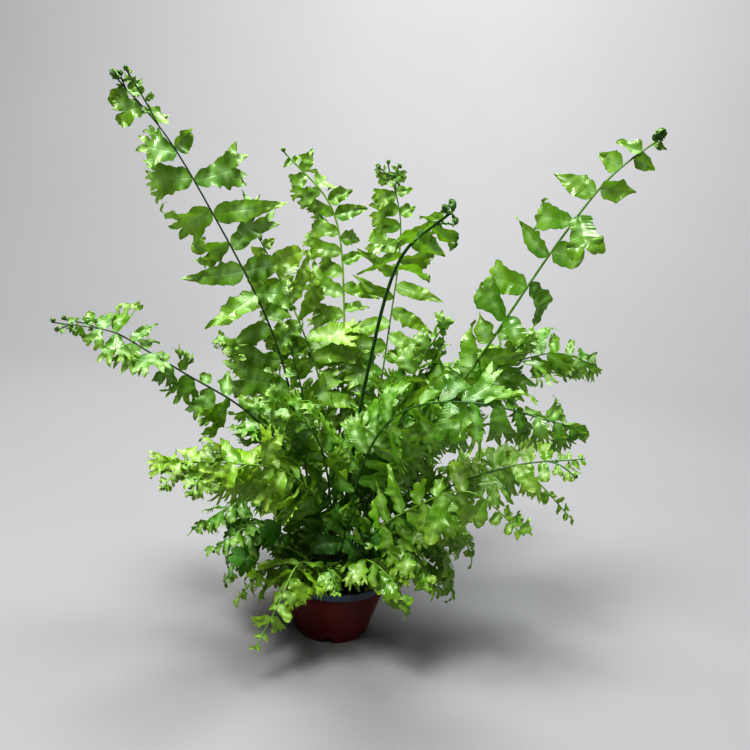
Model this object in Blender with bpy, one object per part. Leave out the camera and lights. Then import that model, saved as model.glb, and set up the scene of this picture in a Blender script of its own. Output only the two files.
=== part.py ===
# A fishtail fern in a small two-tone nursery pot, standing upright on its base.
# Lengths are in metres, +Z is up, and the origin is the centre of the pot's foot.
# The front of the plant faces -Y. The fronds are laid out in millimetres.
import math
import random

import bmesh
import bpy
import numpy as np
from mathutils import Matrix, Vector
from mathutils.bvhtree import BVHTree

MM = 0.001
up = Vector((0.0, 0.0, 1.0))

# The pot: a thin turned cup with a stepped rim and drain notches in its foot
rim_radius = 34.0 * MM
rim_height = 4.5 * MM
rim_step = 1.5 * MM
pot_height = 38.0 * MM
foot_radius = 23.0 * MM
foot_thickness = 1.4 * MM
wall = 1.0 * MM
edge = 0.5 * MM
pot_sides = 32
notch_count = 6
notch_width = 5.0 * MM
notch_depth = 2.6 * MM
notch_height = 4.0 * MM
cutter_spare = 3.0 * MM

# The compost that fills the pot, with one plain hole for each stem
gap = 0.3 * MM
side_gap = 1.2 * gap
soil_edge_height = 31.0 * MM
soil_crown_height = 35.0 * MM
soil_shoulder = 0.55
soil_sides = 24
hole_depth = 8.0 * MM
hole_radius = 1.75 * MM

# Stalk and midrib of a frond: a rod that is flat above and keeled below, thinner towards the tip
stalk_half_width = 0.95 * MM
stalk_depth = 1.7 * MM
tip_half_width = 0.45 * MM
tip_depth = 0.85 * MM
straight_foot = hole_depth + 2.0 * MM
stalk_step = 20.0 * MM
coil_radius = 3.4 * MM
coil_closing = 0.62
coil_step = 52.0

# Leaflets are thin sheets that grow out of the midrib's sides
leaflet_thickness = 0.66 * MM
leaflet_clearance = 0.45 * MM
widest_base = 3.6 * MM
longest_plain_span = 6.0 * MM
fork_length = 21.0 * MM
small_length = 9.0 * MM
end_leaflet = (0.34, 0.2)

# How leaflets differ: shares of the usual length and width, degrees of sweep towards the tip, of
# droop and of twist, and the bend along and the wave across, as shares of the length
length_spread = (0.88, 1.1)
width_spread = (0.9, 1.1)
foot_sweep = 8.0
tip_sweep = 34.0
sweep_spread = (-7.0, 7.0)
droop_spread = (-2.0, 20.0)
twist_spread = (-20.0, 20.0)
bend_spread = (0.15, 0.7)
wave_spread = (-0.16, 0.16)

# Leaflet outlines as (share of length, share of width), from the rear of the base round the tip
# to the front of the base, without the two points of the base itself. The triangles count those
# two as the first and the last point.
outlines = {
    "fork": (
        ((0.14, -0.46), (0.64, -0.36), (1.0, -0.62), (0.78, 0.02), (0.97, 0.58), (0.26, 0.50)),
        ((0, 1, 7), (1, 6, 7), (1, 2, 6), (2, 4, 6), (2, 3, 4), (4, 5, 6)),
    ),
    "notched": (
        ((0.28, -0.48), (1.0, -0.50), (0.76, 0.0), (0.97, 0.52), (0.26, 0.50)),
        ((0, 1, 6), (1, 5, 6), (1, 3, 5), (1, 2, 3), (3, 4, 5)),
    ),
    "blunt": (
        ((0.36, -0.50), (1.0, -0.36), (0.94, 0.42), (0.32, 0.50)),
        ((0, 1, 5), (1, 4, 5), (1, 2, 4), (2, 3, 4)),
    ),
    "heart": (
        ((0.30, -0.36), (0.80, -0.62), (1.0, -0.36), (0.80, 0.0), (1.0, 0.36), (0.80, 0.62), (0.30, 0.36)),
        ((0, 1, 8), (1, 7, 8), (1, 4, 7), (1, 2, 4), (2, 3, 4), (4, 5, 7), (5, 6, 7)),
    ),
}

# What a leaflet tries, in turn, until it is clear of its neighbours: its size, then degrees of
# droop and of sweep. A midrib tries to bow aside by millimetres.
shrink_steps = (1.0, 0.88, 0.76, 0.64, 0.52, 0.4)
droop_steps = (0, 14, -14, 28, -28, 44, -44)
sweep_steps = (0, 14, -14, 28)
bow_steps = ((0, 0), (3, 0), (-3, 0), (0, 3), (0, -3), (5, 4), (-5, 4), (5, -4), (-5, -4), (8, 0), (-8, 0))

# Every frond. All lengths are in millimetres.
#   root    where its stalk leaves the compost (x, y)
#   way     points that its midrib passes through; the last one is its tip
#   face    the direction that its upper side is turned to; an arching frond has none, and looks up
#   pairs   pairs of leaflets
#   size    length and width of its largest leaflet
#   bare    share of its length with no leaflets
#   coil    degrees that its young tip is rolled up by
#   green   its shade
fronds = (
    dict(name="frond_tall_left", root=(-10, 1),
         way=((-26, 3, 112), (-47, 0, 181), (-85, -10, 251), (-131, -20, 306)),
         face=(0.25, -1.0, 0.25), pairs=11, size=(35, 11), bare=0.30, coil=300, green="deep"),
    dict(name="frond_tall_right", root=(11, -2),
         way=((34, -16, 122), (62, -25, 169), (104, -35, 252), (138, -45, 300)),
         face=(-0.35, -1.0, 0.3), pairs=9, size=(29, 13), bare=0.38, coil=330, green="deep"),
    dict(name="frond_front_arch", root=(2, -8),
         way=((5, -14, 118), (10, -40, 175), (21, -95, 239), (38, -128, 260)),
         pairs=6, size=(27, 11), bare=0.62, coil=300, green="deep"),
    dict(name="frond_back_left", root=(-4, 8),
         way=((-5, 24, 110), (-9, 42, 190), (-22, 50, 254), (-54, 46, 286)),
         face=(0.1, -1.0, 0.35), pairs=10, size=(26, 9), bare=0.28, coil=250, green="mid"),
    dict(name="frond_back_right", root=(4, 9),
         way=((14, 22, 110), (20, 36, 186), (21, 42, 250), (10, 42, 284)),
         face=(0.05, -1.0, 0.4), pairs=10, size=(28, 9), bare=0.30, coil=200, green="mid"),
    dict(name="frond_low_left", root=(-13, -5),
         way=((-24, -10, 100), (-56, -20, 138), (-91, -26, 158), (-161, -32, 182)),
         face=(0.1, -0.75, 1.0), pairs=12, size=(20, 8), bare=0.24, coil=200, green="mid"),
    dict(name="frond_right_fan", root=(7, -13),
         way=((10, -30, 112), (28, -55, 156), (60, -77, 171), (108, -84, 166)),
         face=(-0.1, -0.9, 0.75), pairs=10, size=(31, 11), bare=0.34, coil=0, green="mid"),
    dict(name="frond_right_upper", root=(13, 5),
         way=((32, 8, 122), (66, 8, 162), (102, 8, 180), (144, 0, 172)),
         face=(0.0, -0.8, 1.0), pairs=9, size=(26, 8), bare=0.32, coil=0, green="mid"),
    dict(name="frond_right_mid", root=(16, -3),
         way=((36, -8, 82), (66, -12, 104), (100, -14, 120), (141, -16, 128)),
         face=(0.0, -0.7, 1.0), pairs=9, size=(25, 8), bare=0.24, coil=0, green="bright"),
    dict(name="frond_right_droop", root=(16, 9),
         way=((40, 14, 84), (78, 20, 105), (112, 20, 104), (147, 17, 76)),
         face=(0.1, -0.6, 1.0), pairs=8, size=(19, 7), bare=0.26, coil=0, green="bright"),
    dict(name="frond_lower_right", root=(11, -17),
         way=((18, -34, 74), (38, -60, 106), (66, -76, 125), (94, -84, 108)),
         pairs=8, size=(27, 9), bare=0.20, coil=0, green="bright"),
    dict(name="frond_light_left", root=(-7, -11),
         way=((-12, -26, 90), (-30, -52, 118), (-56, -74, 126), (-88, -90, 124)),
         face=(0.1, -0.9, 0.9), pairs=10, size=(23, 9), bare=0.22, coil=0, green="bright"),
    dict(name="frond_mid_left", root=(-8, 6),
         way=((-10, 14, 112), (-20, 16, 154), (-39, 18, 196), (-60, 14, 234)),
         face=(0.2, -1.0, 0.35), pairs=10, size=(24, 9), bare=0.26, coil=200, green="bright"),
    dict(name="frond_heart_left", root=(-3, -3),
         way=((-6, -14, 90), (-16, -30, 132), (-36, -46, 154)),
         face=(0.0, -0.8, 0.8), pairs=7, size=(22, 9), bare=0.28, coil=0, green="mid"),
    dict(name="frond_heart_right", root=(8, 2),
         way=((20, -4, 96), (38, -18, 138), (64, -34, 152)),
         face=(-0.1, -0.9, 0.7), pairs=7, size=(23, 9), bare=0.30, coil=0, green="mid"),
    dict(name="frond_fiddlehead", root=(-14, 8),
         way=((-24, 4, 104), (-30, -6, 148), (-35, -18, 180)),
         face=(0.3, -1.0, 0.2), pairs=5, size=(9, 5), bare=0.60, coil=420, green="mid"),
    dict(name="frond_droop_left", root=(-11, -17),
         way=((-15, -30, 56), (-22, -48, 60), (-30, -64, 46), (-38, -70, 22)),
         pairs=7, size=(18, 7), bare=0.18, coil=0, green="bright"),
    dict(name="frond_small_left", root=(-19, 2),
         way=((-30, -2, 74), (-48, -10, 84), (-64, -18, 80), (-82, -24, 68)),
         pairs=7, size=(17, 7), bare=0.26, coil=0, green="mid"),
    dict(name="frond_hang_right", root=(21, -8),
         way=((36, -14, 66), (56, -16, 74), (67, -15, 54), (71, -14, 26)),
         pairs=7, size=(16, 7), bare=0.26, coil=0, green="bright"),
    dict(name="frond_low_right", root=(4, -20),
         way=((8, -30, 56), (20, -46, 68), (34, -58, 62), (46, -64, 42)),
         pairs=6, size=(21, 9), bare=0.20, coil=0, green="bright"),
    dict(name="frond_low_front", root=(-4, -21),
         way=((-5, -32, 52), (-2, -46, 60), (3, -58, 54)),
         pairs=5, size=(14, 6), bare=0.26, coil=0, green="mid"),
    dict(name="frond_hang_left", root=(-18, -11),
         way=((-30, -18, 64), (-46, -26, 70), (-56, -30, 58), (-62, -31, 40)),
         pairs=6, size=(15, 7), bare=0.24, coil=0, green="mid"),
    dict(name="frond_inner_front", root=(1, -15),
         way=((4, -30, 70), (8, -44, 92)),
         face=(0.0, -0.9, 0.5), pairs=5, size=(17, 7), bare=0.24, coil=0, green="deep"),
    dict(name="frond_inner_left", root=(-13, -1),
         way=((-18, -10, 68), (-30, -22, 96)),
         face=(0.1, -0.9, 0.5), pairs=5, size=(17, 7), bare=0.24, coil=0, green="deep"),
    dict(name="frond_inner_right", root=(17, -13),
         way=((24, -24, 62), (38, -34, 84)),
         face=(-0.1, -0.9, 0.5), pairs=5, size=(17, 7), bare=0.24, coil=0, green="deep"),
    dict(name="frond_rear_left", root=(-8, 15),
         way=((-26, 34, 104), (-56, 56, 150), (-92, 74, 164)),
         pairs=7, size=(26, 10), bare=0.26, coil=0, green="mid"),
    dict(name="frond_rear", root=(1, 18),
         way=((2, 46, 108), (-2, 84, 150), (-8, 124, 158)),
         pairs=7, size=(26, 10), bare=0.26, coil=0, green="mid"),
    dict(name="frond_rear_right", root=(10, 16),
         way=((30, 40, 108), (58, 66, 154), (92, 88, 168)),
         pairs=7, size=(26, 10), bare=0.26, coil=0, green="mid"),
    dict(name="frond_rear_low_left", root=(-17, 15),
         way=((-40, 28, 72), (-66, 42, 82), (-94, 54, 66)),
         pairs=6, size=(19, 8), bare=0.22, coil=0, green="bright"),
    dict(name="frond_rear_low_right", root=(3, 24),
         way=((12, 46, 70), (24, 72, 80), (36, 96, 62)),
         pairs=6, size=(19, 8), bare=0.22, coil=0, green="bright"),
)

# Wood sorrel, the weed in the pot: leaves of three hearts, each on a thin stalk of its own. Two
# hearts grow from the stalk's sides and are swept back, and the third grows from its end.
sorrels = [
    dict(name="sorrel_leaf_" + name, root=root, way=way, face=(-0.1, -0.8, 0.6),
         pairs=1, size=(9, 9), bare=0.94, coil=0, green="sorrel", outline="heart")
    for name, root, way in (
        ("upper", (-20, -5), ((-30, -22, 62), (-36, -34, 74))),
        ("lower", (-16, -16), ((-38, -30, 50), (-50, -36, 57))),
        ("right", (13, -22), ((20, -34, 58), (24, -42, 74))),
    )
]
heart_sweep = -28.0


def clear_scene():
    for item in list(bpy.data.objects):
        bpy.data.objects.remove(item)


def plain_material(name, colour, roughness):
    material = bpy.data.materials.new(name)
    material.use_nodes = True
    shader = material.node_tree.nodes["Principled BSDF"]
    shader.inputs["Base Color"].default_value = (*colour, 1.0)
    shader.inputs["Roughness"].default_value = roughness
    material.diffuse_color = (*colour, 1.0)
    return material


def mesh_of(name, shape):
    """Closes a bmesh's normals outwards and turns it into a mesh."""
    bmesh.ops.recalc_face_normals(shape, faces=shape.faces)
    mesh = bpy.data.meshes.new(name)
    shape.to_mesh(mesh)
    shape.free()
    return mesh


def add_object(name, mesh, material):
    item = bpy.data.objects.new(name, mesh)
    bpy.context.collection.objects.link(item)
    mesh.materials.append(material)
    return item


def cut(item, name, mesh):
    """Takes a shape out of an object with a Boolean, and hides that shape."""
    cutter = bpy.data.objects.new(name, mesh)
    bpy.context.collection.objects.link(cutter)
    cutter.hide_render = True
    cutter.display_type = "WIRE"
    modifier = item.modifiers.new(name, "BOOLEAN")
    modifier.operation = "DIFFERENCE"
    modifier.solver = "EXACT"
    modifier.object = cutter


def turned_mesh(name, profile, sides):
    """A closed solid of revolution about Z from (radius, height) points, with both ends on the axis."""
    shape = bmesh.new()
    rings = []
    for radius, height in profile:
        count = sides if radius else 1
        angles = [math.tau * k / count for k in range(count)]
        rings.append([shape.verts.new((radius * math.cos(a), radius * math.sin(a), height)) for a in angles])
    for lower, upper in zip(rings, rings[1:]):
        for k in range(sides):
            corners = (lower[k % len(lower)], lower[(k + 1) % sides % len(lower)],
                       upper[(k + 1) % sides % len(upper)], upper[k % len(upper)])
            shape.faces.new(list(dict.fromkeys(corners)))
    return mesh_of(name, shape)


def wall_radius(height):
    """Outer radius of the pot's tapered wall at this height."""
    share = height / (pot_height - rim_height)
    return foot_radius + (rim_radius - rim_step - foot_radius) * share


def make_pot():
    shoulder = pot_height - rim_height
    lip = rim_radius - wall - edge
    profile = (
        (0.0, 0.0),
        (foot_radius, 0.0),
        (wall_radius(shoulder), shoulder),
        (rim_radius, shoulder + edge),
        (rim_radius, pot_height - edge),
        (rim_radius - edge, pot_height),
        (lip, pot_height),
        (lip, shoulder + edge),
        (wall_radius(shoulder) - wall, shoulder),
        (wall_radius(foot_thickness) - wall, foot_thickness),
        (0.0, foot_thickness),
    )
    pot = add_object("pot", turned_mesh("pot", profile, pot_sides), pot_plastic)
    pot.data.shade_smooth()
    pot.data.set_sharp_from_angle(angle=math.radians(40))
    notches = bmesh.new()
    reach = foot_radius + (cutter_spare - notch_depth) / 2
    for k in range(notch_count):
        turn = Matrix.Rotation(math.tau * (k + 0.5) / notch_count, 4, "Z")
        place = Matrix.Translation((reach, 0.0, (notch_height - cutter_spare) / 2))
        size = Matrix.Diagonal((notch_depth + cutter_spare, notch_width, notch_height + cutter_spare, 1.0))
        bmesh.ops.create_cube(notches, size=1.0, matrix=turn @ place @ size)
    cut(pot, "drain_notches", mesh_of("drain_notches", notches))


def soil_height(x, y):
    """Height of the compost's slightly heaped top."""
    share = math.hypot(x, y) / (wall_radius(soil_edge_height) - wall)
    return soil_crown_height + (soil_edge_height - soil_crown_height) * share * share


def make_soil(plants):
    bottom = foot_thickness + gap
    edge_radius = wall_radius(soil_edge_height) - wall - side_gap
    middle = edge_radius * soil_shoulder
    profile = (
        (0.0, bottom),
        (wall_radius(bottom) - wall - side_gap, bottom),
        (edge_radius, soil_edge_height),
        (middle, soil_height(middle, 0.0)),
        (0.0, soil_crown_height),
    )
    soil = add_object("compost", turned_mesh("compost", profile, soil_sides), compost)
    holes = bmesh.new()
    for spec in plants:
        x, y = spec["root"][0] * MM, spec["root"][1] * MM
        low = soil_height(x, y) - hole_depth
        high = soil_crown_height + cutter_spare
        place = Matrix.Translation((x, y, (high + low) / 2))
        bmesh.ops.create_cone(holes, cap_ends=True, segments=6, radius1=hole_radius, radius2=hole_radius,
                              depth=high - low, matrix=place)
    cut(soil, "stem_holes", mesh_of("stem_holes", holes))


def smooth_route(points, per_span=14):
    """Points along a centripetal Catmull-Rom curve, which starts at the second of the given points."""
    ends = [*points, points[-1] * 2 - points[-2]]
    route = []
    for a, b, c, d in zip(ends, ends[1:], ends[2:], ends[3:]):
        t1 = math.sqrt((b - a).length)
        t2 = t1 + math.sqrt((c - b).length)
        t3 = t2 + math.sqrt((d - c).length)
        for k in range(per_span):
            t = t1 + (t2 - t1) * k / per_span
            ab = a.lerp(b, t / t1)
            bc = b.lerp(c, (t - t1) / (t2 - t1))
            cd = c.lerp(d, (t - t2) / (t3 - t2))
            abc = ab.lerp(bc, t / t2)
            bcd = bc.lerp(cd, (t - t1) / (t3 - t1))
            route.append(abc.lerp(bcd, (t - t1) / (t2 - t1)))
    return [*route, points[-1].copy()]


class Midrib:
    """The line of a frond's stalk and midrib, read by distance from the foot of the stalk."""

    def __init__(self, spec, bow):
        x, y = spec["root"][0] * MM, spec["root"][1] * MM
        foot = Vector((x, y, soil_height(x, y) - hole_depth + gap))
        bowed = [Vector(place) + Vector((*bow, 0)) for place in spec["way"][:-1]]
        way = [place * MM for place in (*bowed, Vector(spec["way"][-1]))]
        self.route = [foot, *smooth_route([foot, foot + up * straight_foot, *way])]
        self.length = sum((b - a).length for a, b in zip(self.route, self.route[1:]))
        self.face = Vector(spec["face"]).normalized() if "face" in spec else None
        self.arch_side = (way[-1] - foot).cross(up).normalized()

    def at(self, distance):
        """Place, direction, side and upper side of the midrib at this distance."""
        walked = 0.0
        for a, b in zip(self.route, self.route[1:]):
            step = (b - a).length
            if walked + step >= distance:
                break
            walked += step
        place = a.lerp(b, min(1.0, (distance - walked) / step))
        along = (b - a).normalized()
        side = self.arch_side
        if self.face:
            side = along.cross(self.face)
        side = (side - along * side.dot(along)).normalized()
        return place, along, side, side.cross(along)


def crowded(share):
    """Spacing of the leaflets, which crowd together towards the tip."""
    return 1.3 * share - 0.3 * share * share


def coiled(last, degrees):
    """Cross-sections of the rolled-up tip that follows the last one of the midrib."""
    place, along, side, upper = last
    centre = place + upper * coil_radius
    steps = round(degrees / coil_step)
    sections = []
    for k in range(1, steps + 1):
        angle = math.radians(degrees) * k / steps
        radius = coil_radius * (1.0 - coil_closing * k / steps)
        direction = along * math.cos(angle) + upper * math.sin(angle)
        place = centre + (along * math.sin(angle) - upper * math.cos(angle)) * radius
        sections.append((place, direction, side, side.cross(direction)))
    return sections


def untwisted(section, following):
    """A cross-section of the bare stalk, turned the same way as the one that follows it."""
    place, along, _, _ = section
    side = following[2]
    side = (side - along * side.dot(along)).normalized()
    return place, along, side, side.cross(along)


def laid_midrib(spec, bow):
    """Cross-sections along a frond, their thinness, and for each span the side and place of its leaflet."""
    midrib = Midrib(spec, bow)
    length = midrib.length
    bare = spec["bare"] * length
    steps = max(3, round((bare - straight_foot) / stalk_step))
    cuts = [0.0] + [straight_foot + (bare - straight_foot) * k / steps for k in range(steps + 1)]
    spans = [None] * (steps + 1)
    count = 2 * spec["pairs"]
    for k in range(count):
        start, end = (bare + (length - bare) * crowded((k + step) / count) for step in (0, 1))
        carried = (1 if k % 2 else -1, (k + 0.5) / count)
        if end - start > longest_plain_span:
            cuts.append(start + widest_base)
            spans.append(carried)
            cuts.append(end)
            spans.append(None)
        else:
            cuts.append(end)
            spans.append(carried)
    sections = [midrib.at(distance) for distance in cuts]
    for k in range(steps, -1, -1):
        sections[k] = untwisted(sections[k], sections[k + 1])
    thinness = [distance / length for distance in cuts]
    if spec["coil"]:
        rolled = coiled(sections[-1], spec["coil"])
        sections += rolled
        thinness += [1.0] * len(rolled)
        spans += [None] * len(rolled)
    return sections, thinness, spans


def rod_corners(section, thinness, extra=0.0):
    """Left and right upper corners and the keel of the midrib at one cross-section."""
    place, _, side, upper = section
    half_width = stalk_half_width + (tip_half_width - stalk_half_width) * thinness + extra
    half_depth = (stalk_depth + (tip_depth - stalk_depth) * thinness) / 2 + extra
    return (place - side * half_width + upper * half_depth,
            place + side * half_width + upper * half_depth,
            place - upper * half_depth)


def rod_surface(sections, thinness, extra=0.0):
    """Corners and triangles of a bare midrib, for the tests of clearance."""
    corners = []
    faces = []
    for section, thin in zip(sections, thinness):
        corners += rod_corners(section, thin, extra)
    for k in range(0, len(corners) - 3, 3):
        for a in range(3):
            b = (a + 1) % 3
            faces.append((k + a, k + b, k + 3 + b))
            faces.append((k + a, k + 3 + b, k + 3 + a))
    faces.append((len(corners) - 3, len(corners) - 2, len(corners) - 1))
    return corners, faces


def leaflet_share(place):
    """Length of a leaflet at this share of the leafy part, as a share of the longest one."""
    growing = min(1.0, 0.66 + 1.2 * place)
    tapering = 0.2 + 0.8 * (1.0 - place ** 2.4)
    return growing * tapering


class Leaflet:
    """One leaflet as a curved sheet over (share of its length, share of its width)."""

    def __init__(self, frame, base, side, size, draw, sweep, outline):
        self.frame = frame
        self.base = base
        self.side = side
        self.length, self.width = size
        self.sweep = math.radians(sweep + draw.uniform(*sweep_spread))
        self.droop = math.radians(draw.uniform(*droop_spread))
        self.twist = math.radians(draw.uniform(*twist_spread))
        self.bend = draw.uniform(*bend_spread)
        self.wave = draw.uniform(*wave_spread)
        grown = "fork" if self.length > fork_length else "notched" if self.length > small_length else "blunt"
        self.outline, self.triangles = outlines[outline or grown]
        self.pose(1.0, 0, 0)

    def pose(self, shrink, droop, sweep):
        """Settles the leaflet's own axes for one trial."""
        _, direction, side, upper = self.frame
        outward = side * self.side if self.side else direction
        forward = direction if self.side else side
        angle = self.sweep + math.radians(sweep)
        droop = self.droop + math.radians(droop)
        level = outward * math.cos(angle) + forward * math.sin(angle)
        self.along = (level * math.cos(droop) - upper * math.sin(droop)).normalized()
        across = (forward - self.along * forward.dot(self.along)).normalized()
        normal = self.along.cross(across)
        if normal.dot(upper) < 0:
            normal.negate()
        self.across = across * math.cos(self.twist) + normal * math.sin(self.twist)
        self.normal = normal * math.cos(self.twist) - across * math.sin(self.twist)
        self.start = sum(self.base, Vector()) / 4
        self.size = (self.length * shrink, self.width * (0.4 + 0.6 * shrink))

    def point(self, a, b, extra):
        """A point of the middle sheet, with the sheet's edges moved out by extra."""
        length, width = self.size[0] + extra, self.size[1] + 2 * extra
        rise = (self.wave * b - 0.5 * self.bend) * length * a * a
        return self.start + self.along * (length * a) + self.across * (width * b) + self.normal * rise

    def surface(self, extra=0.0):
        """Corners and triangles of the leaflet's two faces and its rim, moved out by extra."""
        offset = self.normal * (leaflet_thickness / 2 + extra)
        middle = [self.point(a, b, extra) for a, b in self.outline]
        rear, front, low_rear, low_front = self.base
        upper = [rear, *(p + offset for p in middle), front]
        lower = [low_rear, *(p - offset for p in middle), low_front]
        count = len(upper)
        faces = [*self.triangles, *(tuple(count + k for k in t) for t in self.triangles)]
        for k in range(count - 1):
            faces += [(k, k + 1, count + k + 1), (k, count + k + 1, count + k)]
        return upper + lower, faces


class Shape:
    """The surface of one piece, ready to be tested against others."""

    def __init__(self, owner, surface):
        self.owner = owner
        self.places, self.faces = surface
        self.tree = BVHTree.FromPolygons(self.places, self.faces)
        box = np.array(self.places)
        self.low, self.high = box.min(0), box.max(0)

    def corners(self, face):
        return {self.places[k].to_tuple() for k in self.faces[face]}

    def crosses(self, other):
        """Whether two shapes meet; those of one frond may share corners where they are joined."""
        pairs = self.tree.overlap(other.tree)
        if self.owner != other.owner:
            return bool(pairs)
        return any(not self.corners(a) & other.corners(b) for a, b in pairs)


class Thicket:
    """Everything placed so far, which what comes next is kept clear of."""

    def __init__(self):
        self.shapes = []
        self.lows = np.zeros((0, 3))
        self.highs = np.zeros((0, 3))

    def add(self, shape):
        self.shapes.append(shape)
        self.lows = np.vstack([self.lows, shape.low])
        self.highs = np.vstack([self.highs, shape.high])

    def meets(self, shape):
        near = ((self.lows <= shape.high) & (self.highs >= shape.low)).all(1)
        return any(shape.crosses(self.shapes[k]) for k in np.nonzero(near)[0])


def pot_surface():
    """The filled pot's outside, which no leaflet may enter."""
    inside = rim_radius - 2 * rim_step
    crown = 1.0 * MM
    rings = ((foot_radius, 0.0), (rim_radius, pot_height - rim_height), (rim_radius, pot_height),
             (inside, soil_edge_height), (crown, soil_crown_height))
    corners = []
    faces = []
    for radius, height in rings:
        angles = [math.tau * k / soil_sides for k in range(soil_sides)]
        corners += [Vector((radius * math.cos(a), radius * math.sin(a), height)) for a in angles]
    for k in range(len(corners) - soil_sides):
        beside = k - soil_sides + 1 if (k + 1) % soil_sides == 0 else k + 1
        faces += [(k, beside, beside + soil_sides), (k, beside + soil_sides, k + soil_sides)]
    return corners, faces


def wanted_leaflets(spec, sections, rings, spans, draw):
    """The leaflets of one frond, from its foot to its tip, before they are kept clear of others."""
    leaflets = {}
    length, width = (v * MM for v in spec["size"])
    hearts = spec.get("outline")
    for span, carried in enumerate(spans):
        if carried:
            side, place = carried
            share = 1.0 if hearts else leaflet_share(place)
            sweep = heart_sweep if hearts else foot_sweep + (tip_sweep - foot_sweep) * place
            long = length * share * draw.uniform(*length_spread)
            wide = width * (0.45 + 0.55 * share) * draw.uniform(*width_spread)
            base = side_base(rings[span], rings[span + 1], side)
            leaflets[span] = Leaflet(sections[span], base, side, (long, wide), draw, sweep, hearts)
    if not spec["coil"]:
        left, right, keel = rings[-1]
        size = (length, width) if hearts else (length * end_leaflet[0], length * end_leaflet[1])
        leaflets[len(spans)] = Leaflet(sections[-1], (left, right, keel, keel), 0, size, draw, 0.0, hearts)
    return leaflets


def side_base(here, there, side):
    """The four points of the midrib's skin that a leaflet on one side grows between."""
    upper = 1 if side > 0 else 0
    return here[upper], there[upper], here[2], there[2]


def find_room(leaflet, thicket, owner):
    """Bends, turns or shortens a leaflet until it is clear; false where there is no room at all."""
    for shrink in shrink_steps:
        for droop in droop_steps:
            for sweep in sweep_steps:
                leaflet.pose(shrink, droop, sweep)
                slabs = [Shape(owner, leaflet.surface(extra)) for extra in (leaflet_clearance, 0.0)]
                if not any(thicket.meets(slab) or slab.crosses(slab) for slab in slabs):
                    return True
    return False


def lay_out():
    """Places every midrib, then every leaflet, each clear of all that went before."""
    thicket = Thicket()
    thicket.add(Shape("pot", pot_surface()))
    laid = []
    for spec in (*fronds, *sorrels):
        for bow in bow_steps:
            sections, thinness, spans = laid_midrib(spec, bow)
            stalk = rod_surface(sections[2:], thinness[2:], leaflet_clearance)
            if not thicket.meets(Shape(spec["name"], stalk)):
                break
        else:
            print(spec["name"], "has no clear way up")
        thicket.add(Shape(spec["name"], rod_surface(sections, thinness)))
        laid.append((spec, sections, thinness, spans))
    for order, (spec, sections, thinness, spans) in enumerate(laid):
        draw = random.Random(100 + order)
        rings = [rod_corners(*pair) for pair in zip(sections, thinness)]
        wanted = wanted_leaflets(spec, sections, rings, spans, draw)
        kept = {}
        for span, leaflet in wanted.items():
            if find_room(leaflet, thicket, spec["name"]):
                thicket.add(Shape(spec["name"], leaflet.surface()))
                kept[span] = leaflet
        if len(kept) < len(wanted):
            print(spec["name"], "has no room for", len(wanted) - len(kept), "leaflets")
        make_frond(spec, rings, kept)


def make_frond(spec, rings, leaflets):
    """One closed body: a keeled midrib whose sides open into leaflets."""
    shape = bmesh.new()
    rings = [[shape.verts.new(p) for p in ring] for ring in rings]
    shape.faces.new(rings[0])
    for k, (here, there) in enumerate(zip(rings, rings[1:])):
        leaflet = leaflets.get(k)
        for a, b, side in ((0, 1, 0), (1, 2, 1), (2, 0, -1)):
            if leaflet and side == leaflet.side:
                add_leaflet(shape, leaflet, side_base(here, there, side))
            else:
                shape.faces.new((here[a], here[b], there[b]))
                shape.faces.new((here[a], there[b], there[a]))
    left, right, keel = rings[-1]
    terminal = leaflets.get(len(rings) - 1)
    if terminal:
        add_leaflet(shape, terminal, (left, right, keel, keel))
    else:
        shape.faces.new((left, right, keel))
    add_object(spec["name"], mesh_of(spec["name"], shape), greens[spec["green"]])


def add_leaflet(shape, leaflet, base):
    """Opens the midrib's skin between four of its points into a leaflet."""
    corners, faces = leaflet.surface()
    count = len(corners) // 2
    known = dict(zip((0, count - 1, count, 2 * count - 1), base))
    points = [known.get(k) or shape.verts.new(p) for k, p in enumerate(corners)]
    for face in faces:
        used = [points[k] for k in face]
        if len(set(used)) == 3:
            shape.faces.new(used)


clear_scene()
pot_plastic = plain_material("pot_plastic", (0.17, 0.035, 0.025), 0.45)
compost = plain_material("compost", (0.02, 0.014, 0.01), 0.95)
greens = {
    "bright": plain_material("leaf_bright", (0.24, 0.50, 0.04), 0.45),
    "mid": plain_material("leaf_mid", (0.14, 0.38, 0.04), 0.42),
    "deep": plain_material("leaf_deep", (0.06, 0.24, 0.03), 0.40),
    "sorrel": plain_material("leaf_sorrel", (0.04, 0.20, 0.03), 0.55),
}

make_pot()
make_soil((*fronds, *sorrels))
lay_out()
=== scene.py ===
import math
import random

import bmesh
import bpy
from mathutils import Matrix, Quaternion, Vector, noise
from mathutils.bvhtree import BVHTree


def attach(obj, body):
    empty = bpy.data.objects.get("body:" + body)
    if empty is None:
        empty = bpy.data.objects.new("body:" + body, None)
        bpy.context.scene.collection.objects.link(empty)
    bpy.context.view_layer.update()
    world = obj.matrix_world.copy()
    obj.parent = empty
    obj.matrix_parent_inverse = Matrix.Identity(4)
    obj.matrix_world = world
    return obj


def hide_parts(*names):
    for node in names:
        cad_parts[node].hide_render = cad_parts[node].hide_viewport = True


# A young fishtail fern in its starter pot. Everything is laid out in millimetres and scaled at the
# end. Z is up, the front of the plant faces -Y and the pot's foot stands on Z = 0.
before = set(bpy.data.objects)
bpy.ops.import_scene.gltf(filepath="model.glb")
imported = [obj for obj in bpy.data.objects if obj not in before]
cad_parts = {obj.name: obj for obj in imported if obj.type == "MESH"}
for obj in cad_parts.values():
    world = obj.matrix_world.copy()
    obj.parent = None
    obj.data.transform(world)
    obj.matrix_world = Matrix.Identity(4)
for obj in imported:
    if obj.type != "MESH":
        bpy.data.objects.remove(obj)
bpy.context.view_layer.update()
print("frame loaded:", len(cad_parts), "nodes")

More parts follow.
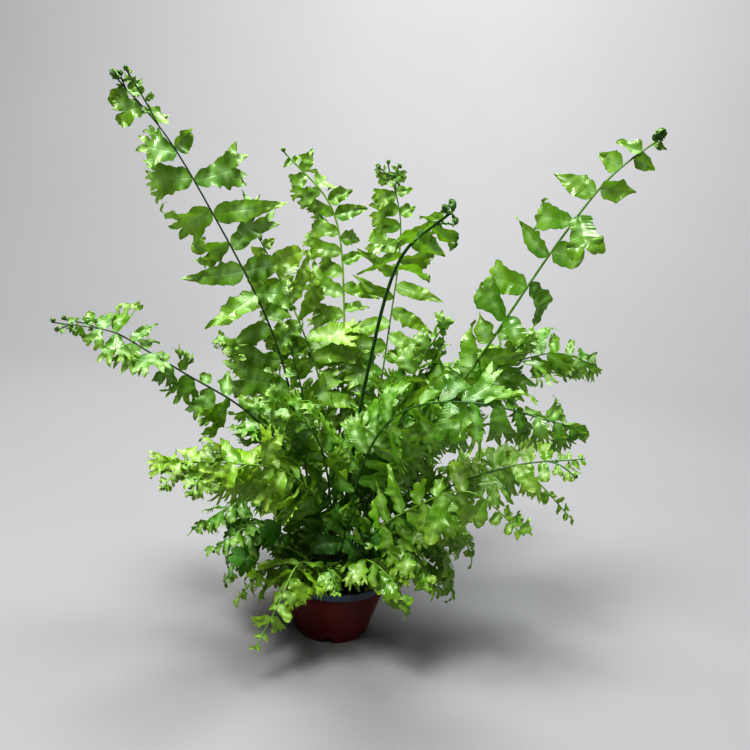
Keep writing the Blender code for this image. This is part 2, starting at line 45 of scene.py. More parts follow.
mm = 0.001
up = Vector((0.0, 0.0, 1.0))


# A new node material: the material, its node tree and its skin shader
def newMaterial(name):
    made = bpy.data.materials.new(name)
    made.use_nodes = True
    tree = made.node_tree
    return made, tree, tree.nodes["Principled BSDF"]


def addNode(tree, kind, links=(), **settings):
    node = tree.nodes.new("ShaderNode" + kind)
    for key, value in settings.items():
        setattr(node, key, value)
    for socket, value in links:
        if isinstance(value, bpy.types.NodeSocket):
            tree.links.new(value, node.inputs[socket])
        else:
            node.inputs[socket].default_value = value
    return node


def maths(tree, operation, first, second=0.0, clamp=False):
    node = addNode(tree, "Math", [(0, first), (1, second)], operation=operation, use_clamp=clamp)
    return node.outputs[0]


def times(tree, first, second):
    return maths(tree, "MULTIPLY", first, second)


def blendColours(tree, share, first, second):
    node = addNode(tree, "Mix", data_type="RGBA")
    for socket, value in ((0, share), (6, first), (7, second)):
        if isinstance(value, bpy.types.NodeSocket):
            tree.links.new(value, node.inputs[socket])
        else:
            node.inputs[socket].default_value = (*value, 1.0)
    return node.outputs[2]


def mapRange(tree, value, low, high, toLow=0.0, toHigh=1.0, smooth=False):
    node = addNode(tree, "MapRange", [(0, value), (1, low), (2, high), (3, toLow), (4, toHigh)])
    if smooth:
        node.interpolation_type = "SMOOTHSTEP"
    return node.outputs[0]


def grain(tree, scale, detail=3.0):
    node = addNode(tree, "TexNoise", [("Scale", scale), ("Detail", detail), ("Roughness", 0.55),
                                      ("Vector", addNode(tree, "TexCoord").outputs["Object"])])
    return node.outputs[0]


# Colour, roughness, shine and fine relief of a surface. The relief's depth is in millimetres.
def finishSkin(tree, skin, colour, roughness, shine, strength, depth, height):
    tree.links.new(colour, skin.inputs["Base Color"])
    tree.links.new(roughness, skin.inputs["Roughness"])
    skin.inputs["Specular IOR Level"].default_value = shine
    bump = addNode(tree, "Bump", [("Strength", strength), ("Distance", depth * mm), ("Height", height)])
    tree.links.new(bump.outputs[0], skin.inputs["Normal"])
    return bump.outputs[0]


def addObject(name, data):
    made = bpy.data.objects.new(name, data)
    bpy.context.scene.collection.objects.link(made)
    return made


def finishedMesh(shape, name):
    mesh = bpy.data.meshes.new(name)
    shape.to_mesh(mesh)
    shape.free()
    return mesh


def circle(radius, count):
    return [(radius * math.cos(math.tau * k / count), radius * math.sin(math.tau * k / count))
            for k in range(count)]


# Leaf greens. Each shade is named as the record's slot for it. The pale green is a painted sheen: the soft
# reflection of the light, laid into the colour.
leafShades = {
    "bright": dict(young=(0.23, 0.37, 0.022), grown=(0.095, 0.225, 0.012), dark=(0.022, 0.085, 0.004),
                   paintedSheenColour=(0.29, 0.43, 0.16), glow=(0.30, 0.50, 0.012)),
    "mid": dict(young=(0.19, 0.33, 0.02), grown=(0.058, 0.175, 0.011), dark=(0.016, 0.065, 0.004),
                paintedSheenColour=(0.24, 0.39, 0.16), glow=(0.24, 0.44, 0.011)),
    "deep": dict(young=(0.17, 0.31, 0.02), grown=(0.045, 0.15, 0.011), dark=(0.012, 0.055, 0.005),
                 paintedSheenColour=(0.24, 0.39, 0.17), glow=(0.20, 0.40, 0.010)),
    "sorrel": dict(young=(0.11, 0.27, 0.04), grown=(0.055, 0.18, 0.02), dark=(0.02, 0.08, 0.008),
                   paintedSheenColour=(0.16, 0.32, 0.10), glow=(0.13, 0.34, 0.018)),
}
ribShades = {"dark": (0.011, 0.026, 0.007), "deep": (0.016, 0.062, 0.008), "mid": (0.05, 0.115, 0.012),
             "bright": (0.085, 0.165, 0.016), "sorrel": (0.13, 0.17, 0.07)}
leafSkin = {"gloss": 0.38, "shine": 0.65, "relief": 0.42, "reliefDepth": 0.3,
            "through": 0.27,    # share of the light that shines through
            "veinSpacing": 1.7, "veinSlant": 1.5,    # millimetres, and turns from middle to edge
            "clouds": 90.0, "mottles": 420.0, "pores": 900.0,    # how many to a metre
            # paintedSheenTint: how strongly the painted sheen, a pale reflection of the light, is laid into
            # the colour
            "paintedSheenTint": 0.9, "veinTint": 0.12, "midVeinTint": 0.3, "edgeShadeTint": 0.7,
            "ripeCurve": 2.2, "ripeTips": 0.75, "ripeClouds": 0.9, "ripeFrom": 0.42,
            "dryBrown": (0.30, 0.17, 0.09), "deadBrown": (0.035, 0.02, 0.012),
            "dryGlow": (0.12, 0.06, 0.03)}
ribSkin = {"gloss": (0.38, 0.55), "shine": 0.35, "relief": 0.3, "reliefDepth": 0.1,
           "streaks": 260.0, "pores": 1500.0, "paler": 1.7}


# A leaf's map runs along it in centimetres, and from -1 to 1 across each of its lobes.
def leafMaterial(name, shade):
    made, tree, skin = newMaterial(name)
    leafMap = addNode(tree, "UVMap", uv_map="leafMap")
    axes = addNode(tree, "SeparateXYZ", [(0, leafMap.outputs[0])])
    run, across = axes.outputs[0], maths(tree, "ABSOLUTE", axes.outputs[1])
    reach, tone, blemish = (addNode(tree, "Attribute", attribute_name=words).outputs["Fac"]
                            for words in ("reach", "tone", "blemish"))
    cloudy = grain(tree, leafSkin["clouds"])
    mottled = grain(tree, leafSkin["mottles"], 2.0)
    # Side veins slant forward from the middle vein to the edge
    phase = maths(tree, "SUBTRACT", times(tree, run, 10.0 / leafSkin["veinSpacing"]),
                  times(tree, across, leafSkin["veinSlant"]))
    veins = maths(tree, "SINE", times(tree, phase, math.tau))
    veinLines = mapRange(tree, veins, 0.55, 1.0)
    midVein = mapRange(tree, across, 0.14, 0.0, smooth=True)
    # Painted shade: a thin dark line along each lobe's edge, for the shade where the edges curl
    edgeShadeLine = mapRange(tree, across, 0.9, 1.0)
    # Painted sheen: a pale green reflection of the light, laid into the colour near each lobe's middle, in
    # clouds
    paintedSheenShare = times(tree, mapRange(tree, across, 0.75, 0.1), mapRange(tree, cloudy, 0.38, 0.6))
    dry = mapRange(tree, blemish, 0.15, 0.4)
    # Grown green to young yellow-green: towards the lobes' ends, in clouds and leaf by leaf
    tips = times(tree, maths(tree, "POWER", reach, leafSkin["ripeCurve"]), leafSkin["ripeTips"])
    patches = maths(tree, "SUBTRACT", times(tree, cloudy, leafSkin["ripeClouds"]), leafSkin["ripeFrom"])
    ripeness = maths(tree, "ADD", maths(tree, "ADD", tips, patches),
                     maths(tree, "SUBTRACT", tone, 0.5), clamp=True)
    green = blendColours(tree, ripeness, shade["grown"], shade["young"])
    for share, colour in ((times(tree, paintedSheenShare, leafSkin["paintedSheenTint"]), shade["paintedSheenColour"]),
                          # Low tones darken towards dark green: partly a frond's own darker green, partly
                          # painted shade on fronds inside the bush and seen from below
                          (mapRange(tree, tone, 0.35, 0.0, 0.0, 0.65), shade["dark"]),
                          (times(tree, veinLines, leafSkin["veinTint"]), shade["dark"]),
                          (times(tree, midVein, leafSkin["midVeinTint"]), shade["young"]),
                          (times(tree, edgeShadeLine, leafSkin["edgeShadeTint"]), shade["dark"]),
                          (mapRange(tree, mottled, 0.62, 0.75, 0.0, 0.25), shade["dark"]),
                          (dry, leafSkin["dryBrown"]),
                          (mapRange(tree, blemish, 0.6, 0.85), leafSkin["deadBrown"])):
        green = blendColours(tree, share, green, colour)
    roughness = mapRange(tree, cloudy, 0.3, 0.7, leafSkin["gloss"] - 0.08, leafSkin["gloss"] + 0.12)
    height = maths(tree, "SUBTRACT", times(tree, grain(tree, leafSkin["pores"], 2.0), 0.5),
                   times(tree, times(tree, veins, across), 0.35))
    height = maths(tree, "SUBTRACT", height, times(tree, midVein, 0.8))
    normal = finishSkin(tree, skin, green, roughness, leafSkin["shine"],
                        leafSkin["relief"], leafSkin["reliefDepth"], height)
    glow = blendColours(tree, ripeness, shade["glow"], shade["young"])
    glow = blendColours(tree, dry, glow, leafSkin["dryGlow"])
    through = addNode(tree, "BsdfTranslucent", [("Color", glow), ("Normal", normal)])
    both = addNode(tree, "MixShader", [(0, leafSkin["through"]), (1, skin.outputs[0]),
                                       (2, through.outputs[0])])
    tree.links.new(both.outputs[0], tree.nodes["Material Output"].inputs[0])
    return made


def ribMaterial(name, green):
    made, tree, skin = newMaterial(name)
    streaks = grain(tree, ribSkin["streaks"])
    paler = [c * ribSkin["paler"] + 0.01 for c in green]
    colour = blendColours(tree, mapRange(tree, streaks, 0.35, 0.7), green, paler)
    roughness = mapRange(tree, streaks, 0.3, 0.7, *ribSkin["gloss"])
    finishSkin(tree, skin, colour, roughness, ribSkin["shine"],
               ribSkin["relief"], ribSkin["reliefDepth"], grain(tree, ribSkin["pores"]))
    return made


leafMaterials = {name: leafMaterial("leaf_" + name, shade) for name, shade in leafShades.items()}
ribMaterials = {name: ribMaterial("rib_" + name, green) for name, green in ribShades.items()}
print("leaf materials made")

# How leaflets grow. Lengths are in millimetres, angles in degrees.
#   kinds    how often an end is forked, three-lobed, pointed or blunt
#   lobes    length of the end lobes, as a share of the leaflet
#   spread   angle that they part by
#   ruffle   height of the waves along the edges, and how many there are
#   teeth    depth of the edge's teeth
#   fold     slope of the two halves up from the middle vein
#   bend     droop from base to end, and how much it hangs by its weight
#   curl     how far the ends of the lobes roll up or down
#   roll     how far it turns about its own middle vein
#   splits   how often a lobe divides again
habits = {
    "wavy": dict(kinds=(6, 5, 2, 0), lobes=(0.34, 0.48), spread=(22, 52), ruffle=(1.0, 2.2),
        waves=(1.6, 2.6), teeth=0.22, fold=(0.0, 0.45), bend=(-25, 45), sag=0.0, curl=(-60, 150),
        roll=(-40, 40), splits=(0, 1, 1, 2)),
    "oval": dict(kinds=(3, 1, 8, 0), lobes=(0.24, 0.34), spread=(20, 42), ruffle=(0.6, 1.4),
        waves=(1.0, 1.8), teeth=0.12, fold=(0.1, 0.45), bend=(-15, 40), sag=0.0, curl=(40, 170),
        roll=(-30, 30), splits=(0, 0, 1)),
    "narrow": dict(kinds=(5, 3, 5, 1), lobes=(0.3, 0.44), spread=(18, 40), ruffle=(0.6, 1.4),
        waves=(1.4, 2.6), teeth=0.24, fold=(0.0, 0.4), bend=(5, 75), sag=0.22, curl=(-20, 120),
        roll=(-22, 22), splits=(1, 1, 2)),
    "comb": dict(kinds=(5, 5, 1, 0), lobes=(0.42, 0.56), spread=(24, 50), ruffle=(0.5, 1.1),
        waves=(1.4, 2.4), teeth=0.2, fold=(0.0, 0.35), bend=(-15, 40), sag=0.05, curl=(-30, 100),
        roll=(-28, 28), splits=(1, 1, 2)),
    "antler": dict(kinds=(6, 5, 1, 0), lobes=(0.42, 0.56), spread=(16, 40), ruffle=(0.4, 1.1),
        waves=(1.2, 2.2), teeth=0.18, fold=(0.0, 0.4), bend=(0, 50), sag=0.4, curl=(-20, 90),
        roll=(-25, 25), splits=(1, 1, 2, 2)),
    "oblong": dict(kinds=(4, 3, 0, 3), lobes=(0.24, 0.38), spread=(18, 40), ruffle=(0.5, 1.2),
        waves=(1.2, 2.2), teeth=0.32, fold=(-0.05, 0.35), bend=(0, 55), sag=0.45, curl=(-20, 80),
        roll=(-25, 25), splits=(0, 1, 1)),
    "small": dict(kinds=(4, 4, 1, 2), lobes=(0.3, 0.46), spread=(20, 46), ruffle=(0.4, 0.9),
        waves=(1.2, 2.0), teeth=0.22, fold=(-0.05, 0.35), bend=(-10, 45), sag=0.25, curl=(-30, 70),
        roll=(-28, 28), splits=(0, 1, 1, 2)),
}
lobeRanges = {"fork": ((0, 4), (4, 8)), "paw": ((0, 2), (2, 6), (6, 8)), "point": (), "blunt": ()}
kindNames = ("fork", "paw", "point", "blunt")
# How long or wide a leaflet has to be to have these, or to have them in full
least = {"pawLength": 7.0, "splitLength": 8, "spurLength": 14, "ruffleWidth": 8.0, "teethWidth": 7.0}
# What the seeded draw picks from or between, for every leaflet
chance = {"phase": (0, 6.3), "turn": (-18, 26), "pinch": (0.0, 0.16), "lobeTurn": (-10, 10),
          "lobeLength": (0.75, 1.25), "parting": (20, 40), "spurs": (0, 1, 1, 2), "spurPlace": (0.3, 0.62),
          "spurSize": (0.9, 2.4), "length": (0.86, 1.1), "width": (0.88, 1.12), "sweep": (-8, 8),
          "droop": (-8, 14), "twist": (-26, 26)}
pucker = {"height": 1.1, "along": 0.32, "across": 1.3}    # shallow hollows between the veins
edge = {"bulge": 0.05, "bulgePace": 1.15, "tooth": (0.45, 1.25), "toothLean": 0.9,
        "spurReach": 2.2, "spurFrom": 0.4, "spurRise": 0.4}
fineStep = 0.85    # between rows of a leaflet's mesh, half a tooth
roughStep = 3.2    # the same, for the mesh that keeps leaflets clear of each other
fineColumns, roughColumns = 8, 4


def drawLeaf(habit, length, width, draw, kind=None):
    def pick(key):
        return draw.uniform(*habit[key])

    def pickAny(key):
        return draw.uniform(*chance[key])

    drawn = draw.choices(kindNames, habit["kinds"])[0]
    kind = kind or drawn
    if length < least["pawLength"] and kind == "paw":
        kind = "fork"
    leaf = dict(kind=kind, length=length, half=width / 2, lobes=pick("lobes"), fold=pick("fold"),
                ruffle=pick("ruffle") * min(1.0, width / least["ruffleWidth"]), waves=pick("waves"),
                bend=math.radians(pick("bend")), roll=math.radians(pick("roll")),
                turn=math.radians(pickAny("turn")), sag=habit["sag"],
                teeth=habit["teeth"] * min(1.0, width / least["teethWidth"]),
                phases=(pickAny("phase"), pickAny("phase")), bulges=(pickAny("phase"), pickAny("phase")),
                pinch=pickAny("pinch"), seed=draw.randrange(10000), tone=draw.uniform(0.0, 1.0),
                ends=[], spurs=[])
    for low, high in lobeRanges[kind]:
        middle = (low + high) / 8 - 1.0
        leaf["ends"].append(dict(
            columns=(low, high), turn=math.radians(middle * 2 * pick("spread") + pickAny("lobeTurn")),
            length=length * leaf["lobes"] * pickAny("lobeLength"), curl=math.radians(pick("curl")),
            splits=draw.choice(habit["splits"]) if length > least["splitLength"] else 0,
            parting=math.radians(pickAny("parting"))))
    for _ in range(draw.choice(chance["spurs"]) if length > least["spurLength"] else 0):
        leaf["spurs"].append((pickAny("spurPlace"), draw.choice((-1, 1)), pickAny("spurSize")))
    return leaf


# Where a leaflet starts: place, direction out, direction forward along the rib, and upper side
def leafStart(rib, side, sweep, droop, twist):
    place, along, beside, upper = rib
    outward = beside * side if side else along
    forward = along if side else beside
    level = outward * math.cos(sweep) + forward * math.sin(sweep)
    out = (level * math.cos(droop) - upper * math.sin(droop)).normalized()
    across = (forward - out * forward.dot(out)).normalized()
    face = out.cross(across)
    flip = 1.0 if face.dot(upper) > 0 else -1.0
    face = face * flip
    turned = across * math.cos(twist) + face * math.sin(twist)
    face = face * math.cos(twist) - across * math.sin(twist)
    return (place, out, turned, face), flip


def advance(spot, flip, step, bend, turn, roll, sag):
    place, out, across, face = spot
    place = place + out * step
    out = (out - face * bend + across * turn - up * sag).normalized()
    across = across + face * roll
    across = (across - out * across.dot(out)).normalized()
    return place, out, across, out.cross(across) * flip


def bodyWidth(kind, share, fork):
    swell = min(1.0, 0.26 + 0.74 * math.sin(min(1.0, share / 0.16) * math.pi / 2))
    if kind == "point":
        return swell * (1.0 - share ** 1.6) ** 0.95 + 0.04
    if kind == "blunt":
        rounding = max(0.0, (share - 0.7) / 0.3)
        return swell * (0.12 + 0.88 * math.sqrt(max(0.0, 1.0 - rounding * rounding)))
    return swell * (0.95 + 0.5 * (share / fork) ** 4)


# The sheet of one leaflet: rows of points across it, which part into lobes towards its end. Each
# face comes with its places on the leaf's map, each point with how near the tip it is.
def growLeaf(leaf, start, flip, step, columns):
    points, faces, maps, reaches = [], [], [], []
    wobble = random.Random(leaf["seed"])
    length, kind = leaf["length"], leaf["kind"]
    coarse = columns < fineColumns
    perMm = 1.0 / length

    def putRow(spot, half, shares, run, number, opening=1.0):
        place, out, across, face = spot
        made = []
        easing = min(1.0, run * perMm * 5.0) * opening
        toothed = number % 2 and not coarse
        for share in shares:
            side = share > 0
            away = abs(share)
            bulge = edge["bulge"] * math.sin(run * edge["bulgePace"] + leaf["bulges"][side]) * away
            wide = half * away * (1.0 + bulge)
            wave = math.sin(leaf["waves"] * run * perMm * math.tau + leaf["phases"][side])
            rise = leaf["fold"] * half * away + leaf["ruffle"] * easing * wave * away ** 1.7
            hollow = Vector((run * pucker["along"], share * pucker["across"], leaf["seed"]))
            rise += pucker["height"] * easing * noise.noise(hollow)
            ahead = 0.0
            if away > 0.99 and toothed:
                tooth = leaf["teeth"] * wobble.uniform(*edge["tooth"]) * min(1.0, half / 1.5 + 0.3)
                wide += tooth
                ahead = tooth * edge["toothLean"]
            for at, spurSide, size in leaf["spurs"]:
                if (spurSide > 0) == side and away > edge["spurFrom"]:
                    near = max(0.0, 1.0 - abs(run * perMm - at) * length / edge["spurReach"])
                    wide += size * near * (away - edge["spurFrom"]) / (1.0 - edge["spurFrom"])
                    rise += edge["spurRise"] * size * near * (away - edge["spurFrom"])
            made.append(len(points))
            points.append(place + across * math.copysign(wide, share) + face * rise + out * ahead)
            reaches.append(min(1.0, run * perMm))
        return made

    def join(first, second, shares, runs):
        for k in range(len(first) - 1):
            near, far = shares[k], shares[k + 1]
            quad = (first[k], second[k], second[k + 1], first[k + 1])
            spots = ((runs[0], near), (runs[1], near), (runs[1], far), (runs[0], far))
            if flip < 0:
                quad, spots = quad[::-1], spots[::-1]
            faces.append(quad)
            maps.append(spots)

    def growLobe(spot, row, half, run, end, level):
        count = len(row) - 1
        shares = [2.0 * k / count - 1.0 for k in range(count + 1)]
        reach = end["length"]
        rows = max(2 if coarse else 4, round(reach / step))
        splitAt = round(rows * 0.42) if level <= end["splits"] and count > 1 and not coarse else None
        pitch = reach / rows
        spot = advance(spot, flip, 0.0, 0.0, math.tan(end["turn"] * 0.4), 0.0, 0.0)
        for k in range(1, rows + 1):
            share = k / rows
            late = share * 2.0 / rows
            spot = advance(spot, flip, pitch, end["curl"] * late, end["turn"] * 0.6 / rows, 0.0,
                           leaf["sag"] * pitch * perMm)
            width = half * (1.0 + 0.1 * math.sin(math.pi * share)) * (1.0 - share ** 1.8) ** 0.85 + 0.05
            made = putRow(spot, width, shares, run + pitch, k)
            join(row, made, shares, (run, run + pitch))
            run += pitch
            row = made
            if k == splitAt:
                middle = count // 2
                for part, side in ((row[:middle + 1], -1), (row[middle:], 1)):
                    place, out, across, face = spot
                    branch = (place + across * (width * 0.5 * side), out, across, face)
                    growLobe(branch, part, width * 0.5, run, dict(
                        end, length=reach * 0.62, turn=end["parting"] * side), level + 1)
                return

    fork = 1.0 - leaf["lobes"] if leaf["ends"] else 1.0
    shares = [2.0 * k / columns - 1.0 for k in range(columns + 1)]
    rows = max(3, round(length * fork / step))
    pitch = length * fork / rows
    spot, run = start, 0.0
    row = putRow(spot, leaf["half"] * 0.26, shares, 0.0, 0, 0.0)
    for k in range(1, rows + 1):
        share = fork * k / rows
        late = 0.4 + 1.2 * k / rows
        tipCurl = leaf["bend"] * 2.0 * max(0.0, share - 0.75) / rows * 4 if kind == "point" else 0.0
        spot = advance(spot, flip, pitch, leaf["bend"] * late / rows + tipCurl, leaf["turn"] * late / rows,
                       leaf["roll"] / rows, leaf["sag"] * pitch * perMm)
        half = leaf["half"] * bodyWidth(kind, share, fork) * (1.0 - leaf["pinch"] * math.sin(share * 9.0))
        made = putRow(spot, half, shares, run + pitch, k)
        join(row, made, shares, (run, run + pitch))
        run += pitch
        row = made
    for end in leaf["ends"]:
        low, high = (c * columns // 8 for c in end["columns"])
        place, out, across, face = spot
        middle = (low + high) / columns - 1.0
        branch = (place + across * (half * middle), out, across, face)
        growLobe(branch, row[low:high + 1], half * (high - low) / columns, run, end, 1)
    return points, faces, maps, reaches


# What has been placed so far, so that leaflets can be bent clear of it
class Thicket:
    def __init__(self):
        self.trees = []

    def treeOf(self, points, faces):
        low, high = Vector(map(min, *points)), Vector(map(max, *points))
        return low, high, BVHTree.FromPolygons(points, faces)

    def add(self, points, faces):
        self.trees.append(self.treeOf(points, faces))

    def crossings(self, points, faces):
        low, high, tree = self.treeOf(points, faces)
        found = 0
        for otherLow, otherHigh, other in self.trees:
            if all(low[k] <= otherHigh[k] and high[k] >= otherLow[k] for k in range(3)):
                found += len(tree.overlap(other))
        return found


thicket = Thicket()


# The pot and its filling
pot = {"rim": 34.0, "rimHeight": 4.5, "rimStep": 1.5, "height": 38.0, "foot": 23.0, "floor": 1.4,
       "wall": 1.0, "lipRound": 0.5, "lipHeight": 0.75, "lipSteps": 10, "segments": 144,
       "notches": 6, "notchWidth": 5.0, "notchDepth": 2.6, "notchHeight": 4.0, "sharpFrom": 35}
soil = {"edgeHeight": 31.0, "crownHeight": 35.0, "gap": 0.3, "footGap": 0.5, "rings": 30, "segments": 96,
        "lumps": 1.1, "lumpScale": 0.16, "lumpSeed": 3.7, "evenRim": 3.0}


def wallRadius(height):
    share = height / (pot["height"] - pot["rimHeight"])
    return pot["foot"] + (pot["rim"] - pot["rimStep"] - pot["foot"]) * share


soilRadius = wallRadius(soil["edgeHeight"]) - pot["wall"]    # of the pot's inside where the compost ends


def soilHeight(x, y):
    share = math.hypot(x, y) / soilRadius
    return soil["crownHeight"] + (soil["edgeHeight"] - soil["crownHeight"]) * share * share


# Every frond, in millimetres, from where its stalk leaves the compost to its tip.
#   face     direction that its upper side is turned to; without one it arches over and looks up
#   spacing  distance between the leaflets of one side, of the length and width in size
#   bare     share of its length with no leaflets
#   coil     degrees that its young tip is rolled up by; knot is the roll's size
#   stout    thickness of its stalk, against the usual one
#   tone     how much lighter its leaflets are, low tones partly painted shade; shade and rib are the colours of leaf and rib
#   crest    side shoots near the tip: share of the length, degrees aside, length, then the length
#            of their leaflets and how many pairs
#   leaflets those that stand clear of the rest, one by one: distance from the tip, side (1 is right),
#            kind, length, width, and degrees that they lean to the tip. They fill the last stretch, seen.
#   spot     place of a small brown spot
#   young    smaller fronds that come from the same crown, with what differs from the main one
usual = {"face": None, "coil": 0, "knot": 0.8, "stout": 1.0, "shade": "mid", "rib": None, "habit": "small",
         "tone": 0.0, "seen": 0.0, "crest": (), "leaflets": (), "spot": None, "young": ()}
unshared = ("coil", "crest", "leaflets", "seen")    # what a young frond doesn't take from the main one
